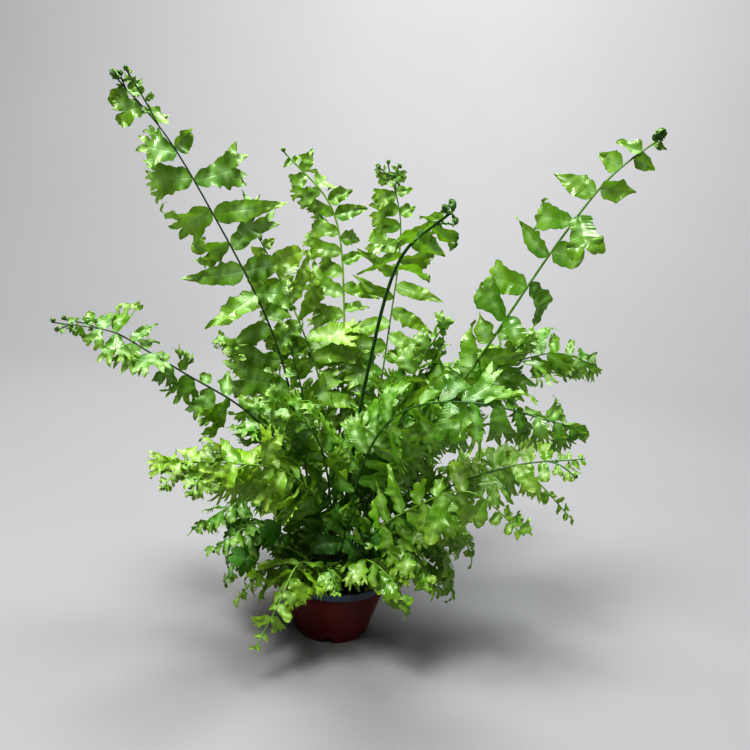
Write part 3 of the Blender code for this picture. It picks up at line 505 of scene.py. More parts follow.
# What fronds that hardly show have in common. Their deep green and low tone are partly painted shade, for
# the shade inside the bush.
innerKind = dict(spacing=9, size=(21, 9), bare=0.2, shade="deep", habit="oblong", tone=-0.45)
rearKind = dict(spacing=10, size=(29, 10), bare=0.24, habit="antler")
rearLowKind = dict(spacing=9, size=(21, 9), bare=0.20, shade="bright", tone=0.1)
fronds = {
    "tall_left": dict(root=(-10, 1),
        way=((-26, 3, 112), (-47, 0, 181), (-85, -10, 251), (-109.5, -16.5, 288), (-132, -20.5, 311)),
        face=(0.25, -1.0, 0.25), spacing=20, size=(44, 14), bare=0.30, coil=300, shade="deep", habit="wavy",
        tone=0.4, knot=1.2, crest=((0.905, 20, 31, 7, 3), (0.98, 40, 7, 4, 2)), rib="dark", seen=162,
        leaflets=((7, -1, "blunt", 11, 8, 0), (8, 1, "fork", 8, 6, -10), (17.5, -1, "fork", 16, 10.5, 18),
            (23, 1, "point", 15, 11, -26), (43.5, 1, "point", 17, 12, 14), (46, -1, "paw", 19, 12.5, 46),
            (63, 1, "fork", 34, 12, 0), (61, -1, "paw", 27, 13, 12), (83, 1, "point", 41, 13, -7),
            (79, -1, "paw", 29, 14, -14), (104, 1, "fork", 34, 11, 8), (100, -1, "fork", 21, 12, -12),
            (118, 1, "blunt", 21, 13, -14), (117.5, -1, "point", 34, 13.5, 16),
            (132, 1, "fork", 26, 11, -6), (132.5, -1, "point", 36, 14, 8), (147, 1, "fork", 25, 11, 0),
            (152, -1, "point", 26, 12, -8))),
    "tall_right": dict(root=(11, -2),
        way=((34, -16, 122), (62, -25, 169), (102, -35, 250), (121, -42, 283), (140, -45, 302)),
        face=(-0.35, -1.0, 0.3), spacing=20, size=(34, 16), bare=0.38, coil=330, shade="deep", habit="oval",
        tone=0.25, rib="mid", stout=1.3, seen=120, knot=1.5,
        leaflets=((2.6, 1, "point", 7, 5, 20), (9, -1, "point", 13, 9.5, -15),
            (13.3, 1, "point", 14, 9, 34), (20, -1, "point", 18, 11, -15), (34, 1, "point", 17, 12, 17),
            (37.5, -1, "point", 24, 11.5, -15), (51, 1, "fork", 22, 12, -14), (55, -1, "fork", 34, 11, -25),
            (72, 1, "blunt", 16, 12.5, 4), (75, -1, "point", 29, 12.5, -6), (92, 1, "fork", 27, 14, -52),
            (95, -1, "fork", 29, 13, -16), (113, 1, "blunt", 17, 10, -18), (115, -1, "fork", 28, 13, 0))),
    # The front arch is seen from below: its low tone is painted shade on the undersides of its leaflets.
    "front_arch": dict(root=(2, -8), way=((5, -14, 118), (10, -40, 175), (21, -95, 239), (38, -128, 260)),
        spacing=12, size=(20, 9), bare=0.82, coil=300, shade="deep", habit="oval", tone=-0.3, stout=1.7,
        seen=60, crest=((0.95, -45, 9, 4, 3), (0.985, 50, 6, 4, 2)),
        leaflets=((6, 1, "point", 9.9, 6.2, -20), (14, 1, "point", 20.9, 11.2, -18),
            (16, -1, "fork", 13.2, 7.5, 10), (24, 1, "point", 19.8, 8.8, -16),
            (28, -1, "point", 18.7, 10, -40), (42, 1, "point", 22, 7.5, -25),
            (50, -1, "point", 29.7, 11.2, -20))),
    "back_left": dict(root=(-4, 8), way=((-5, 24, 110), (-9, 42, 190), (-22, 50, 254), (-54, 46, 286)),
        face=(0.1, -1.0, 0.35), spacing=13.5, size=(31, 9), bare=0.28, coil=250, habit="narrow", tone=0.42,
        rib="bright", stout=1.3, knot=0.5, seen=150,
        leaflets=((7, -1, "point", 6.6, 4.5, 0), (9, 1, "point", 6.6, 4.5, 0),
            (17, 1, "point", 15.9, 8.7, 10), (20, -1, "fork", 12.1, 7.8, 10),
            (29, 1, "fork", 20.7, 11.3, 0), (32, -1, "fork", 17.6, 7.8, 15),
            (40, 1, "point", 23.9, 10.1, 0), (49, -1, "fork", 24.2, 7.8, 36),
            (50, 1, "point", 30.3, 10.6, 4), (61, -1, "paw", 24.2, 9, 30), (64, 1, "point", 24.2, 9.5, 0),
            (73, -1, "fork", 27.5, 9, 18), (79, 1, "point", 24.2, 9.5, 6), (86, -1, "fork", 26.4, 9.5, 24),
            (94, 1, "point", 27.5, 9.5, 4), (99, -1, "fork", 28.6, 10.1, 12),
            (109, 1, "point", 28.6, 9.5, 4), (112, -1, "fork", 29.7, 10.1, 10),
            (124, 1, "point", 29.7, 10.1, 2), (126, -1, "fork", 29.7, 10.1, 6),
            (138, 1, "fork", 29.7, 10.1, 0), (140, -1, "fork", 29.7, 10.1, 0))),
    "back_right": dict(root=(4, 9), way=((14, 22, 110), (20, 36, 186), (21, 42, 250), (10, 42, 284)),
        face=(0.05, -0.9, 0.6), spacing=13.5, size=(30, 9), bare=0.30, coil=200, habit="narrow", tone=0.4,
        knot=0.6, seen=142, crest=((0.93, 30, 16, 7, 3), (0.95, -24, 14, 6, 3)),
        leaflets=((8, -1, "fork", 8.6, 5.6, 10), (10, 1, "fork", 8.6, 5.6, 10),
            (18, 1, "point", 11.9, 6.7, 0), (20, -1, "fork", 14, 7.8, 10), (28, -1, "fork", 20.5, 9, 10),
            (31, 1, "point", 21.6, 8.4, 10), (38, -1, "fork", 29.2, 10.1, 10),
            (45, 1, "fork", 24.8, 9.5, 0), (52, -1, "fork", 24.8, 9.5, 15), (59, 1, "fork", 27, 9.5, 0),
            (67, -1, "point", 29.2, 10.1, 5), (75, 1, "point", 31.3, 10.1, -6),
            (82, -1, "point", 30.2, 10.1, 0), (90, 1, "point", 30.2, 10.1, -6),
            (98, -1, "point", 29.2, 10.1, 5), (105, 1, "fork", 32.4, 10.6, -5),
            (113, -1, "fork", 29.2, 10.1, 0), (120, 1, "point", 33.5, 10.6, 0),
            (129, -1, "fork", 29.2, 10.1, 0), (136, 1, "fork", 31.3, 10.1, 0))),
    "low_left": dict(root=(-13, -5), way=((-24, -10, 100), (-56, -20, 139), (-91, -26, 160),
            (-111, -28, 171), (-129.5, -29, 180), (-160, -32, 183)), face=(0.1, -0.9, 0.7), spacing=10.5,
        size=(22, 9.5), bare=0.20, coil=200, habit="comb", rib="dark", knot=0.6, seen=110,
        crest=((0.905, 24, 19, 4, 3), (0.96, -30, 8, 3.5, 2)),
        leaflets=((8.9, 1, "point", 5, 4, 20), (9.8, -1, "point", 5, 4, 10), (13.3, -1, "fork", 7, 5, 0),
            (17.8, 1, "blunt", 9, 6.5, 10), (24, -1, "fork", 11, 6, 10), (25.8, 1, "fork", 12.5, 8.5, 32),
            (32, 1, "paw", 20, 9.5, 14), (32.9, -1, "fork", 17, 7.5, -10), (40.9, 1, "point", 17, 7, -6),
            (43.6, -1, "paw", 16, 9, -18), (49.8, 1, "fork", 15, 7, 12), (53.4, -1, "fork", 15, 10, -32),
            (57.9, 1, "blunt", 13, 8, -45), (65.9, -1, "fork", 12, 7, -10), (71.2, 1, "paw", 15, 8.5, 8),
            (75.7, -1, "paw", 16, 10, -30), (87.2, 1, "blunt", 10, 8, 2), (90.8, -1, "fork", 22, 10, -14),
            (99.7, 1, "point", 18, 8, 4), (102.4, -1, "fork", 22, 10, -12))),
    "right_fan": dict(root=(7, -13), way=((10, -30, 112), (28, -55, 156), (60, -77, 171), (112, -84, 165)),
        face=(-0.1, -0.9, 0.75), spacing=11.5, size=(34, 9.5), bare=0.30, habit="antler", rib="deep",
        tone=-0.05),
    "right_upper": dict(root=(13, 5),
        way=((32, 8, 122), (66, 8, 162), (90, 8, 174), (119, 6, 184), (140, 0, 180)), face=(0.0, -1.0, 0.6),
        spacing=9.5, size=(30, 8.5), bare=0.28, habit="antler", rib="deep", tone=0.1, seen=70,
        leaflets=((3, 1, "fork", 10, 5, 50), (4, -1, "point", 9, 4.5, 10), (8, -1, "fork", 17, 7.5, 4),
            (11, 1, "paw", 16, 8, 44), (16, -1, "point", 15, 6, -14), (19, 1, "fork", 17, 8, 44),
            (23, -1, "point", 23, 7.5, -6), (28, 1, "paw", 22, 9.5, 50), (32, -1, "fork", 24, 9.5, -8),
            (37, 1, "fork", 18, 8, 40), (42, -1, "point", 22, 9, -6), (46, 1, "paw", 26, 10, 56),
            (52, -1, "blunt", 22, 9, -6), (56, 1, "fork", 22, 8.5, 24), (62, -1, "fork", 20, 8, 0),
            (65, 1, "paw", 24, 9, 14))),
    "right_mid": dict(root=(16, -3), way=((36, -8, 82), (66, -12, 104), (100, -14, 120), (138, -16, 128)),
        face=(0.0, -0.9, 0.7), spacing=10, size=(28, 8.5), bare=0.22, shade="bright", rib="deep", seen=60,
        crest=((0.88, 34, 17, 8, 3),),
        leaflets=((2, 1, "blunt", 4, 2.5, 30), (3, -1, "blunt", 4, 2.5, 30), (7, 1, "point", 7, 4, 24),
            (9, -1, "point", 6, 3.5, 10), (14, -1, "fork", 9, 5, 10), (22, -1, "paw", 15, 8, 4),
            (24, 1, "blunt", 12, 6, 0), (31, -1, "blunt", 17, 8.5, -4), (33, 1, "point", 13, 7, 6),
            (40, 1, "blunt", 19, 8.5, 30), (42, -1, "fork", 17, 8, 10), (50, 1, "fork", 22, 8.5, 24),
            (51, -1, "fork", 16, 8, 0), (57, 1, "paw", 22, 9, 8))),
    "right_droop": dict(root=(16, 9), way=((40, 14, 84), (78, 20, 105), (112, 20, 104), (147, 17, 76)),
        face=(0.1, -0.8, 0.8), spacing=9.5, size=(21, 8), bare=0.24, shade="bright", tone=-0.1, seen=48,
        leaflets=((1.5, 1, "point", 4, 2.5, 40), (3, -1, "point", 3.5, 2.5, 40),
            (7, 1, "blunt", 5, 3.5, 20), (9, -1, "fork", 5, 3.5, 30), (14, 1, "point", 6, 4, 30),
            (17, -1, "blunt", 6, 4, 40), (23, -1, "point", 8, 4.5, 50), (26, 1, "blunt", 9, 5, 20),
            (33, 1, "fork", 11, 6, 10), (35, -1, "point", 9, 5, 10), (42, 1, "fork", 14, 7, 10),
            (44, -1, "blunt", 12, 7, 0))),
    "lower_right": dict(root=(11, -17), way=((18, -34, 74), (38, -60, 106), (66, -76, 125), (94, -84, 108)),
        face=(0.1, -0.9, 0.6), spacing=11, size=(27, 10), bare=0.20, shade="bright", habit="oblong",
        tone=0.1, seen=108,
        leaflets=((3, -1, "paw", 8, 5, 30), (4, 1, "point", 5, 3.5, 20), (8, -1, "fork", 9, 5.5, 10),
            (9, 1, "blunt", 6, 4, 20), (13, -1, "fork", 12, 7, 20), (16, 1, "blunt", 7, 5, 0),
            (21, -1, "point", 12, 6.5, -20), (26, 1, "fork", 15, 7, 0), (37, -1, "blunt", 19, 8, -24),
            (40, 1, "fork", 24, 8, 8), (49, 1, "blunt", 26, 9, -14), (53, -1, "point", 16, 8.5, 4),
            (62, 1, "fork", 18, 8, 4), (64, -1, "blunt", 22, 10, -12), (74, 1, "blunt", 23, 9, 12),
            (79, -1, "point", 27, 11, 4), (83, 1, "blunt", 29, 9.5, -42), (92, -1, "point", 22, 10, 6),
            (97, 1, "fork", 20, 9, -20), (102, -1, "blunt", 20, 10, 0))),
    "light_left": dict(root=(-7, -11),
        way=((-12, -26, 90), (-30, -52, 118), (-56, -74, 128), (-80, -88, 131)), face=(0.1, -0.8, 0.9),
        spacing=8.5, size=(26, 9.5), bare=0.22, shade="bright", habit="antler", tone=0.18,
        crest=((0.76, -36, 26, 10, 4), (0.86, -52, 23, 9, 4), (0.95, -52, 18, 6.5, 4), (0.93, 20, 9, 5, 2)),
        spot=(-51, -79, 136)),
    "mid_left": dict(root=(-8, 6), way=((-10, 14, 112), (-20, 16, 154), (-39, 18, 196), (-60, 14, 234)),
        face=(0.2, -1.0, 0.35), spacing=11, size=(30, 10.5), bare=0.26, coil=200, shade="bright",
        habit="narrow", tone=0.4, knot=0.6, seen=92,
        leaflets=((5, 1, "point", 8.6, 6.5, 10), (7, -1, "fork", 8.6, 6.5, 0),
            (14, -1, "fork", 16.2, 10.8, 0), (16, 1, "blunt", 19.4, 10.8, 0),
            (27, 1, "blunt", 28.1, 11.3, 18), (28, -1, "fork", 19.4, 10.8, -10),
            (39, 1, "point", 34.6, 11.9, 20), (41, -1, "fork", 27, 10.8, 0),
            (52, 1, "fork", 34.6, 11.9, 15), (54, -1, "fork", 28.1, 10.8, 5),
            (65, 1, "fork", 33.5, 11.3, 10), (67, -1, "fork", 28.1, 10.8, 0),
            (78, 1, "fork", 32.4, 11.3, 5), (80, -1, "fork", 28.1, 10.8, 0))),
    "heart_left": dict(root=(-3, -3), way=((-6, -14, 90), (-16, -30, 132), (-36, -46, 154)),
        face=(0.0, -0.8, 0.8), spacing=10, size=(26, 10), bare=0.22, habit="antler"),
    "heart_right": dict(root=(8, 2), way=((20, -4, 96), (38, -18, 138), (64, -34, 152)),
        face=(-0.1, -0.9, 0.7), spacing=10, size=(27, 10), bare=0.24, habit="antler", tone=-0.1,
        young=(dict(root=(7, 6), way=((20, 0, 117), (33, -8, 160), (48, -14, 195)), face=(0.2, -1.0, 0.3)),
            dict(root=(15, 4), way=((49, 10, 135), (76, 4, 161), (96, 0, 188)), face=(0.1, -1.0, 0.5)))),
    "fiddlehead": dict(root=(-14, 8), way=((-21, 4, 104), (-27, -6, 148), (-35, -18, 180)),
        face=(0.3, -1.0, 0.2), spacing=9, size=(10, 5), bare=0.55, coil=420, tone=0.2),
    "droop_left": dict(root=(-11, -17),
        way=((-15, -30, 56), (-21, -48, 60), (-27, -62, 46), (-37.5, -69, 22)), spacing=8, size=(20, 8),
        bare=0.16, shade="bright", habit="oblong", tone=0.3, seen=66,
        leaflets=((1, 1, "point", 4, 2.5, 30), (3, -1, "point", 4, 2.5, 30), (8, 1, "point", 5, 3, 30),
            (10, -1, "point", 5, 3.5, 30), (19, 1, "fork", 11, 5, 60), (20, -1, "fork", 10, 5, 45),
            (26, 1, "point", 5, 4, 30), (27, -1, "blunt", 11, 5, 24), (32, 1, "fork", 9, 6, 30),
            (34, -1, "fork", 15, 8, 14), (39, 1, "paw", 15, 8, 24), (41, -1, "paw", 18, 8.5, 12),
            (46, 1, "fork", 26, 8.5, 28), (50, -1, "paw", 25, 9.5, 2), (55, 1, "blunt", 24, 7.5, 10),
            (58, -1, "fork", 16, 6.5, -6), (64, 1, "fork", 18, 7.5, 0)),
        young=(dict(root=(-15, -19), way=((-21, -30, 53), (-40, -42, 53), (-50, -50, 41)),
            size=(15, 6.5)),)),
    "small_left": dict(root=(-19, 2), way=((-30, -2, 74), (-48, -10, 84), (-64, -18, 80), (-82, -24, 68)),
        spacing=8, size=(17, 7.5), bare=0.24, tone=-0.1),
    "hang_right": dict(root=(21, -8), way=((36, -14, 66), (56, -16, 74), (67, -15, 57), (72, -14, 35)),
        spacing=7.5, size=(17, 8), bare=0.24, shade="bright", tone=-0.1,
        young=(dict(root=(24, -3), way=((44, -22, 87), (64, -32, 93), (76, -36, 74)), size=(25, 9),
            habit="oblong", spacing=9),)),
    "low_right": dict(root=(4, -20), way=((8, -30, 56), (20, -46, 68), (33, -57, 63), (41, -61, 51)),
        spacing=8, size=(18, 9), bare=0.18, shade="bright", habit="oblong",
        young=(dict(root=(10, -22), way=((28, -34, 75), (42, -46, 75), (54, -53, 60)), size=(19, 8.5)),
            dict(root=(20, -17), way=((32, -24, 68), (50, -28, 62), (60, -28, 46)), size=(18, 8)))),
    "low_front": dict(root=(-4, -21), way=((-5, -32, 52), (-2, -46, 60), (3, -58, 54)), spacing=6.5,
        size=(12.5, 6), bare=0.22, tone=0.2),
    "hang_left": dict(root=(-18, -11), way=((-30, -18, 64), (-46, -26, 70), (-56, -30, 58), (-62, -31, 40)),
        spacing=7.5, size=(14, 6.5), bare=0.22, tone=-0.1,
        young=(dict(root=(-20, -11), way=((-27, -16, 58), (-51, -24, 71), (-69, -30, 59)),
            size=(17, 7.5)),)),
    "inner_front": dict(innerKind, root=(1, -15), way=((4, -30, 70), (8, -44, 92)), face=(0.0, -0.9, 0.5)),
    "inner_left": dict(innerKind, root=(-13, -1), way=((-13, -6, 68), (-30, -22, 96)),
        face=(0.1, -0.9, 0.5)),
    "inner_right": dict(innerKind, root=(17, -13), way=((24, -24, 62), (38, -34, 84)),
        face=(-0.1, -0.9, 0.5)),
    "rear_left": dict(rearKind, root=(-8, 15), way=((-26, 34, 104), (-56, 56, 150), (-92, 74, 164)),
        tone=0.1),
    "rear": dict(rearKind, root=(1, 18), way=((2, 46, 108), (-2, 84, 150), (-8, 124, 158)), tone=0.1),
    "rear_right": dict(rearKind, root=(10, 16), way=((30, 40, 108), (58, 66, 154), (92, 88, 168))),
    "rear_low_left": dict(rearLowKind, root=(-17, 15), way=((-40, 28, 72), (-66, 42, 82), (-94, 54, 66))),
    "rear_low_right": dict(rearLowKind, root=(3, 24), way=((12, 46, 70), (24, 72, 80), (36, 96, 62))),
}
fronds = {name: {**usual, **own} for name, own in fronds.items()}
stalk = {"halfWidth": 0.8, "depth": 1.5, "tipHalfWidth": 0.36, "tipDepth": 0.7, "straightFoot": 10.0,
         "holeDepth": 8.0, "ringStep": 2.4, "sides": 8, "groove": 0.72,
         "leafSide": 0.7, "leafRise": 0.15,    # where a leaflet starts, in half widths and depths
         "coilRadius": 3.4, "coilClosing": 0.62, "coilStep": 14.0, "coilLeaves": 3.4, "coilTone": -0.1}
shoot = {"halfWidth": 0.42, "depth": 0.4, "sides": 6, "step": 2.0, "hang": 0.5, "bare": 0.15,
         "leafWidth": 0.45, "coil": 200, "coilSize": 0.5, "coilLeaves": 2.4}
# The folded leaflets of a rolled-up tip
coilLeaf = {"least": 1.4, "smaller": 0.6, "size": (0.7, 1.2), "width": 0.62, "bend": (-150, -60),
            "sweep": (10, 50), "droop": -20, "step": 0.7, "tone": 0.45}
# Leaflets in a row: degrees that they lean to the tip, share of the width that changes with the
# length, and what the last one is like
leafRow = {"lean": 6.0, "moreLean": 28.0, "fixedWidth": 0.42, "freeWidth": 0.58, "moreTone": 0.25,
           "lastLength": 0.4, "lastWidth": 0.24, "lastDroop": 0.1, "lastTone": 0.7}


def smoothRoute(points, perSpan=14):
    ends = [*points, points[-1] * 2 - points[-2]]
    route = []
    for a, b, c, d in zip(ends, ends[1:], ends[2:], ends[3:]):
        t1 = math.sqrt((b - a).length)
        t2 = t1 + math.sqrt((c - b).length)
        t3 = t2 + math.sqrt((d - c).length)
        for k in range(perSpan):
            t = t1 + (t2 - t1) * k / perSpan
            ab, bc, cd = a.lerp(b, t / t1), b.lerp(c, (t - t1) / (t2 - t1)), c.lerp(d, (t - t2) / (t3 - t2))
            abc, bcd = ab.lerp(bc, t / t2), bc.lerp(cd, (t - t1) / (t3 - t1))
            route.append(abc.lerp(bcd, (t - t1) / (t2 - t1)))
    return [*route, points[-1].copy()]


# The line of a stalk and its rib, read by distance from the foot
class Rib:
    def __init__(self, root, way, face=None):
        foot = Vector((*root, soilHeight(*root) - stalk["holeDepth"] + soil["gap"]))
        way = [Vector(place) for place in way]
        self.route = [foot, *smoothRoute([foot, foot + up * stalk["straightFoot"], *way])]
        self.face = Vector(face).normalized() if face else None
        self.archSide = (way[-1] - foot).cross(up).normalized()
        self.marks = [0.0]
        for a, b in zip(self.route, self.route[1:]):
            self.marks.append(self.marks[-1] + (b - a).length)
        self.length = self.marks[-1]

    def at(self, distance):
        k = 1
        while k < len(self.marks) - 1 and self.marks[k] < distance:
            k += 1
        a, b = self.route[k - 1], self.route[k]
        share = min(1.0, (distance - self.marks[k - 1]) / (b - a).length)
        before = (a - self.route[max(0, k - 2)]).normalized() if k > 1 else (b - a).normalized()
        along = before.lerp((b - a).normalized(), 0.5 + 0.5 * share).normalized()
        side = along.cross(self.face) if self.face else self.archSide
        side = (side - along * side.dot(along)).normalized()
        return a.lerp(b, share), along, side, side.cross(along)


def coilSpots(last, degrees, scale=1.0):
    place, along, side, upper = last
    first = stalk["coilRadius"] * scale
    centre = place + upper * first
    steps = round(degrees / stalk["coilStep"])
    spots = []
    for k in range(1, steps + 1):
        angle = math.radians(degrees) * k / steps
        radius = first * (1.0 - stalk["coilClosing"] * k / steps)
        heading = along * math.cos(angle) + upper * math.sin(angle)
        place = centre + (along * math.sin(angle) - upper * math.cos(angle)) * radius
        spots.append((place, heading, side, side.cross(heading)))
    return spots


# The spots of a side shoot, one every step. It turns away from the rib and hangs a little.
def shootSpots(start, degrees, length):
    place, along, side, upper = start
    angle = math.radians(degrees)
    steps = max(4, round(length / shoot["step"]))
    spots = [start]
    along = (along * math.cos(angle * 0.5) + side * math.sin(angle * 0.5)).normalized()
    for k in range(1, steps + 1):
        place = place + along * (length / steps)
        along = along + side * (angle * 0.5 / steps)
        along = (along - up * (shoot["hang"] / steps)).normalized()
        side = (side - along * side.dot(along)).normalized()
        spots.append((place, along, side, side.cross(along)))
    return spots


# How long a leaflet is at its place between the lowest and the tip
def leafletShare(place):
    growing = min(1.0, 0.66 + 1.2 * place)
    tapering = 0.2 + 0.8 * (1.0 - place ** 3.2)
    return growing * tapering


# Leaflets stand closer together towards the tip
def crowded(share):
    return 1.3 * share - 0.3 * share * share


def thickness(share):
    wide = stalk["halfWidth"] + (stalk["tipHalfWidth"] - stalk["halfWidth"]) * share
    deep = (stalk["depth"] + (stalk["tipDepth"] - stalk["depth"]) * share) / 2
    return wide, deep


# One frond's mesh while it grows
class Growth:
    def __init__(self, draw):
        self.draw = draw
        self.points, self.faces, self.maps = [], [], []
        self.tones, self.reaches, self.slots = [], [], []
        self.blemishes = []

    def addLeaf(self, grown, tone):
        points, faces, maps, reaches = grown
        first = len(self.points)
        self.points += points
        self.faces += [tuple(first + k for k in face) for face in faces]
        self.maps += [[(run * 0.1, share) for run, share in spots] for spots in maps]
        self.tones += [tone] * len(points)
        self.reaches += reaches
        self.slots += [0] * len(faces)

    # A rod with a shallow groove along its upper side
    def addRod(self, spots, widths, sides=stalk["sides"]):
        rings = []
        grooved = 0.9 * math.sin(math.pi * 3 / 8)
        for (place, _, side, upper), (wide, deep) in zip(spots, widths):
            ring = []
            for k in range(sides):
                angle = math.tau * (k + 0.5) / sides
                rise = math.sin(angle)
                groove = stalk["groove"] if rise > grooved and abs(math.cos(angle)) < 0.5 else 1.0
                ring.append(len(self.points))
                self.points.append(place + side * (wide * math.cos(angle)) + upper * (deep * rise * groove))
            rings.append(ring)
        self.tones += [0.5] * (len(rings) * sides)
        self.reaches += [0.0] * (len(rings) * sides)
        made = [(low[k], low[(k + 1) % sides], high[(k + 1) % sides], high[k])
                for low, high in zip(rings, rings[1:]) for k in range(sides)]
        made += [tuple(rings[0][::-1]), tuple(rings[-1])]
        self.faces += made
        self.maps += [[(0.0, 0.0)] * len(face) for face in made]
        self.slots += [1] * len(made)

    def build(self, name, shade, rib):
        mesh = bpy.data.meshes.new(name)
        mesh.from_pydata([p * mm for p in self.points], [], self.faces)
        traits = {"tone": self.tones, "reach": self.reaches}
        if self.blemishes:
            traits["blemish"] = [
                max(0.0, *(1.0 - (p - place).length / size for place, size in self.blemishes))
                for p in self.points]
        for words, values in traits.items():
            mesh.attributes.new(words, "FLOAT", "POINT").data.foreach_set("value", values)
        flat = [value for spots in self.maps for spot in spots for value in spot]
        mesh.uv_layers.new(name="leafMap").data.foreach_set("uv", flat)
        mesh.polygons.foreach_set("use_smooth", [True] * len(self.faces))
        mesh.materials.append(leafMaterials[shade])
        mesh.materials.append(ribMaterials[rib])
        mesh.polygons.foreach_set("material_index", self.slots)
        mesh.update()
        return addObject(name, mesh)


# Poses that a leaflet tries until it is clear: its size, then degrees of droop, sweep and twist
tries = [(size, *angles) for size, group in (
    (1.0, ((0, 0, 0), (14, 0, 0), (-14, 0, 0), (0, 12, 0), (0, -12, 0), (26, 0, 20), (-26, 0, -20),
           (14, 14, 0), (-14, -10, 0), (10, 18, 30), (-10, -18, -30), (40, 0, 0), (-40, 0, 0))),
    (0.88, ((0, 0, 0), (30, 12, -30), (-30, 12, 30), (0, -22, 0))),
    (0.75, ((20, 20, 0), (-20, 20, 0), (0, 0, 40))),
    (0.6, ((0, 0, 0), (34, 10, 0), (-34, 10, 0)))) for angles in group]
grazing = 2    # crossed face pairs of the rough mesh that the fine one clears
toneSpread = 0.55    # how far the tones of one frond's leaflets differ
# For the leaflets laid out one by one: how much they keep of their twists and bends, and their own angles
calm = {"keep": 0.4, "droop": (-8, 6), "twist": (-12, 12)}


def settle(leaf, spot, side, sweep, droop, twist):
    best = None
    length, half = leaf["length"], leaf["half"]
    for shrink, moreDroop, moreSweep, moreTwist in tries:
        leaf["length"], leaf["half"] = length * shrink, half * (0.4 + 0.6 * shrink)
        start, flip = leafStart(spot, side, sweep + math.radians(moreSweep),
                                droop + math.radians(moreDroop), twist + math.radians(moreTwist))
        points, faces, _, _ = growLeaf(leaf, start, flip, roughStep, roughColumns)
        found = thicket.crossings(points, faces)
        if best is None or found < best[0]:
            best = (found, leaf["length"], leaf["half"], start, flip, points, faces)
        if found <= (grazing if shrink < 1.0 else 0):
            break
    found, leaf["length"], leaf["half"], start, flip, points, faces = best
    thicket.add(points, faces)
    return growLeaf(leaf, start, flip, fineStep, fineColumns), found


# One leaflet on its rib, bent clear of the rest. It says whether it still touches another.
def hangLeaf(growth, leaf, spot, side, angles, thin, tone):
    place, along, beside, upper = spot
    place = place + beside * (side * thin[0] * stalk["leafSide"]) + upper * (thin[1] * stalk["leafRise"])
    sweep, droop, twist = (math.radians(angle) for angle in angles)
    mesh, found = settle(leaf, (place, along, beside, upper), side, sweep, droop, twist)
    growth.addLeaf(mesh, min(1.0, max(0.0, 0.5 + tone + toneSpread * (leaf["tone"] - 0.5))))
    return found > 0


# Leaflets along a run of spots, left and right by turns, then a last one at the end
def dress(growth, values, spotAt, first, last, count, size, thin, ended=True):
    crossed = 0
    draw, habit, tone = growth.draw, habits[values["habit"]], values["tone"]
    for k in range(count):
        share = (k + 0.5) / count
        spot = spotAt(first + (last - first) * crowded(share))
        grown = leafletShare(share)
        length = size[0] * grown * draw.uniform(*chance["length"])
        wide = leafRow["fixedWidth"] + leafRow["freeWidth"] * grown
        width = size[1] * wide * draw.uniform(*chance["width"])
        leaf = drawLeaf(habit, length, width, draw)
        sweep = leafRow["lean"] + leafRow["moreLean"] * share + draw.uniform(*chance["sweep"])
        angles = (sweep, draw.uniform(*chance["droop"]), draw.uniform(*chance["twist"]))
        crossed += hangLeaf(growth, leaf, spot, 1 if k % 2 else -1, angles, thin(share),
                            tone + leafRow["moreTone"] * share ** 3)
    if ended:
        leaf = drawLeaf(habit, size[0] * leafRow["lastLength"], size[0] * leafRow["lastWidth"], draw)
        mesh, _ = settle(leaf, spotAt(last), 0, 0.0, leafRow["lastDroop"], 0.0)
        growth.addLeaf(mesh, min(1.0, leafRow["lastTone"] + tone))
    return crossed


# The rolled-up tip: small leaflets folded along both sides of the coil
def dressCoil(growth, spots, size, tone):
    draw = growth.draw
    for k, spot in enumerate(spots):
        tapered = size * (1.0 - coilLeaf["smaller"] * (k / len(spots)))
        for side in (-1, 1):
            length = max(coilLeaf["least"], tapered * draw.uniform(*coilLeaf["size"]))
            leaf = drawLeaf(habits["small"], length, length * coilLeaf["width"], draw)
            leaf["bend"], leaf["sag"] = math.radians(draw.uniform(*coilLeaf["bend"])), 0.0
            sweep, droop = math.radians(draw.uniform(*coilLeaf["sweep"])), math.radians(coilLeaf["droop"])
            start, flip = leafStart(spot, side, sweep, droop, 0.0)
            mesh = growLeaf(leaf, start, flip, coilLeaf["step"], roughColumns)
            growth.addLeaf(mesh, min(1.0, coilLeaf["tone"] + tone))


def growShoot(growth, values, start, degrees, length, leafLength, pairs):
    spots = shootSpots(start, degrees, length)
    tip, last = spots[-1][0], len(spots) - 1
    rolled = [(tip + (place - tip) * shoot["coilSize"], *rest)
              for place, *rest in coilSpots(spots[-1], shoot["coil"])]
    slim = (shoot["halfWidth"], shoot["depth"])
    growth.addRod(spots + rolled, [slim] * (len(spots) + len(rolled)), shoot["sides"])
    dress(growth, values, lambda distance: spots[min(last, round(distance / length * last))],
          length * shoot["bare"], length, 2 * pairs, (leafLength, leafLength * shoot["leafWidth"]),
          lambda share: slim, False)
    dressCoil(growth, rolled, shoot["coilLeaves"], 0.0)


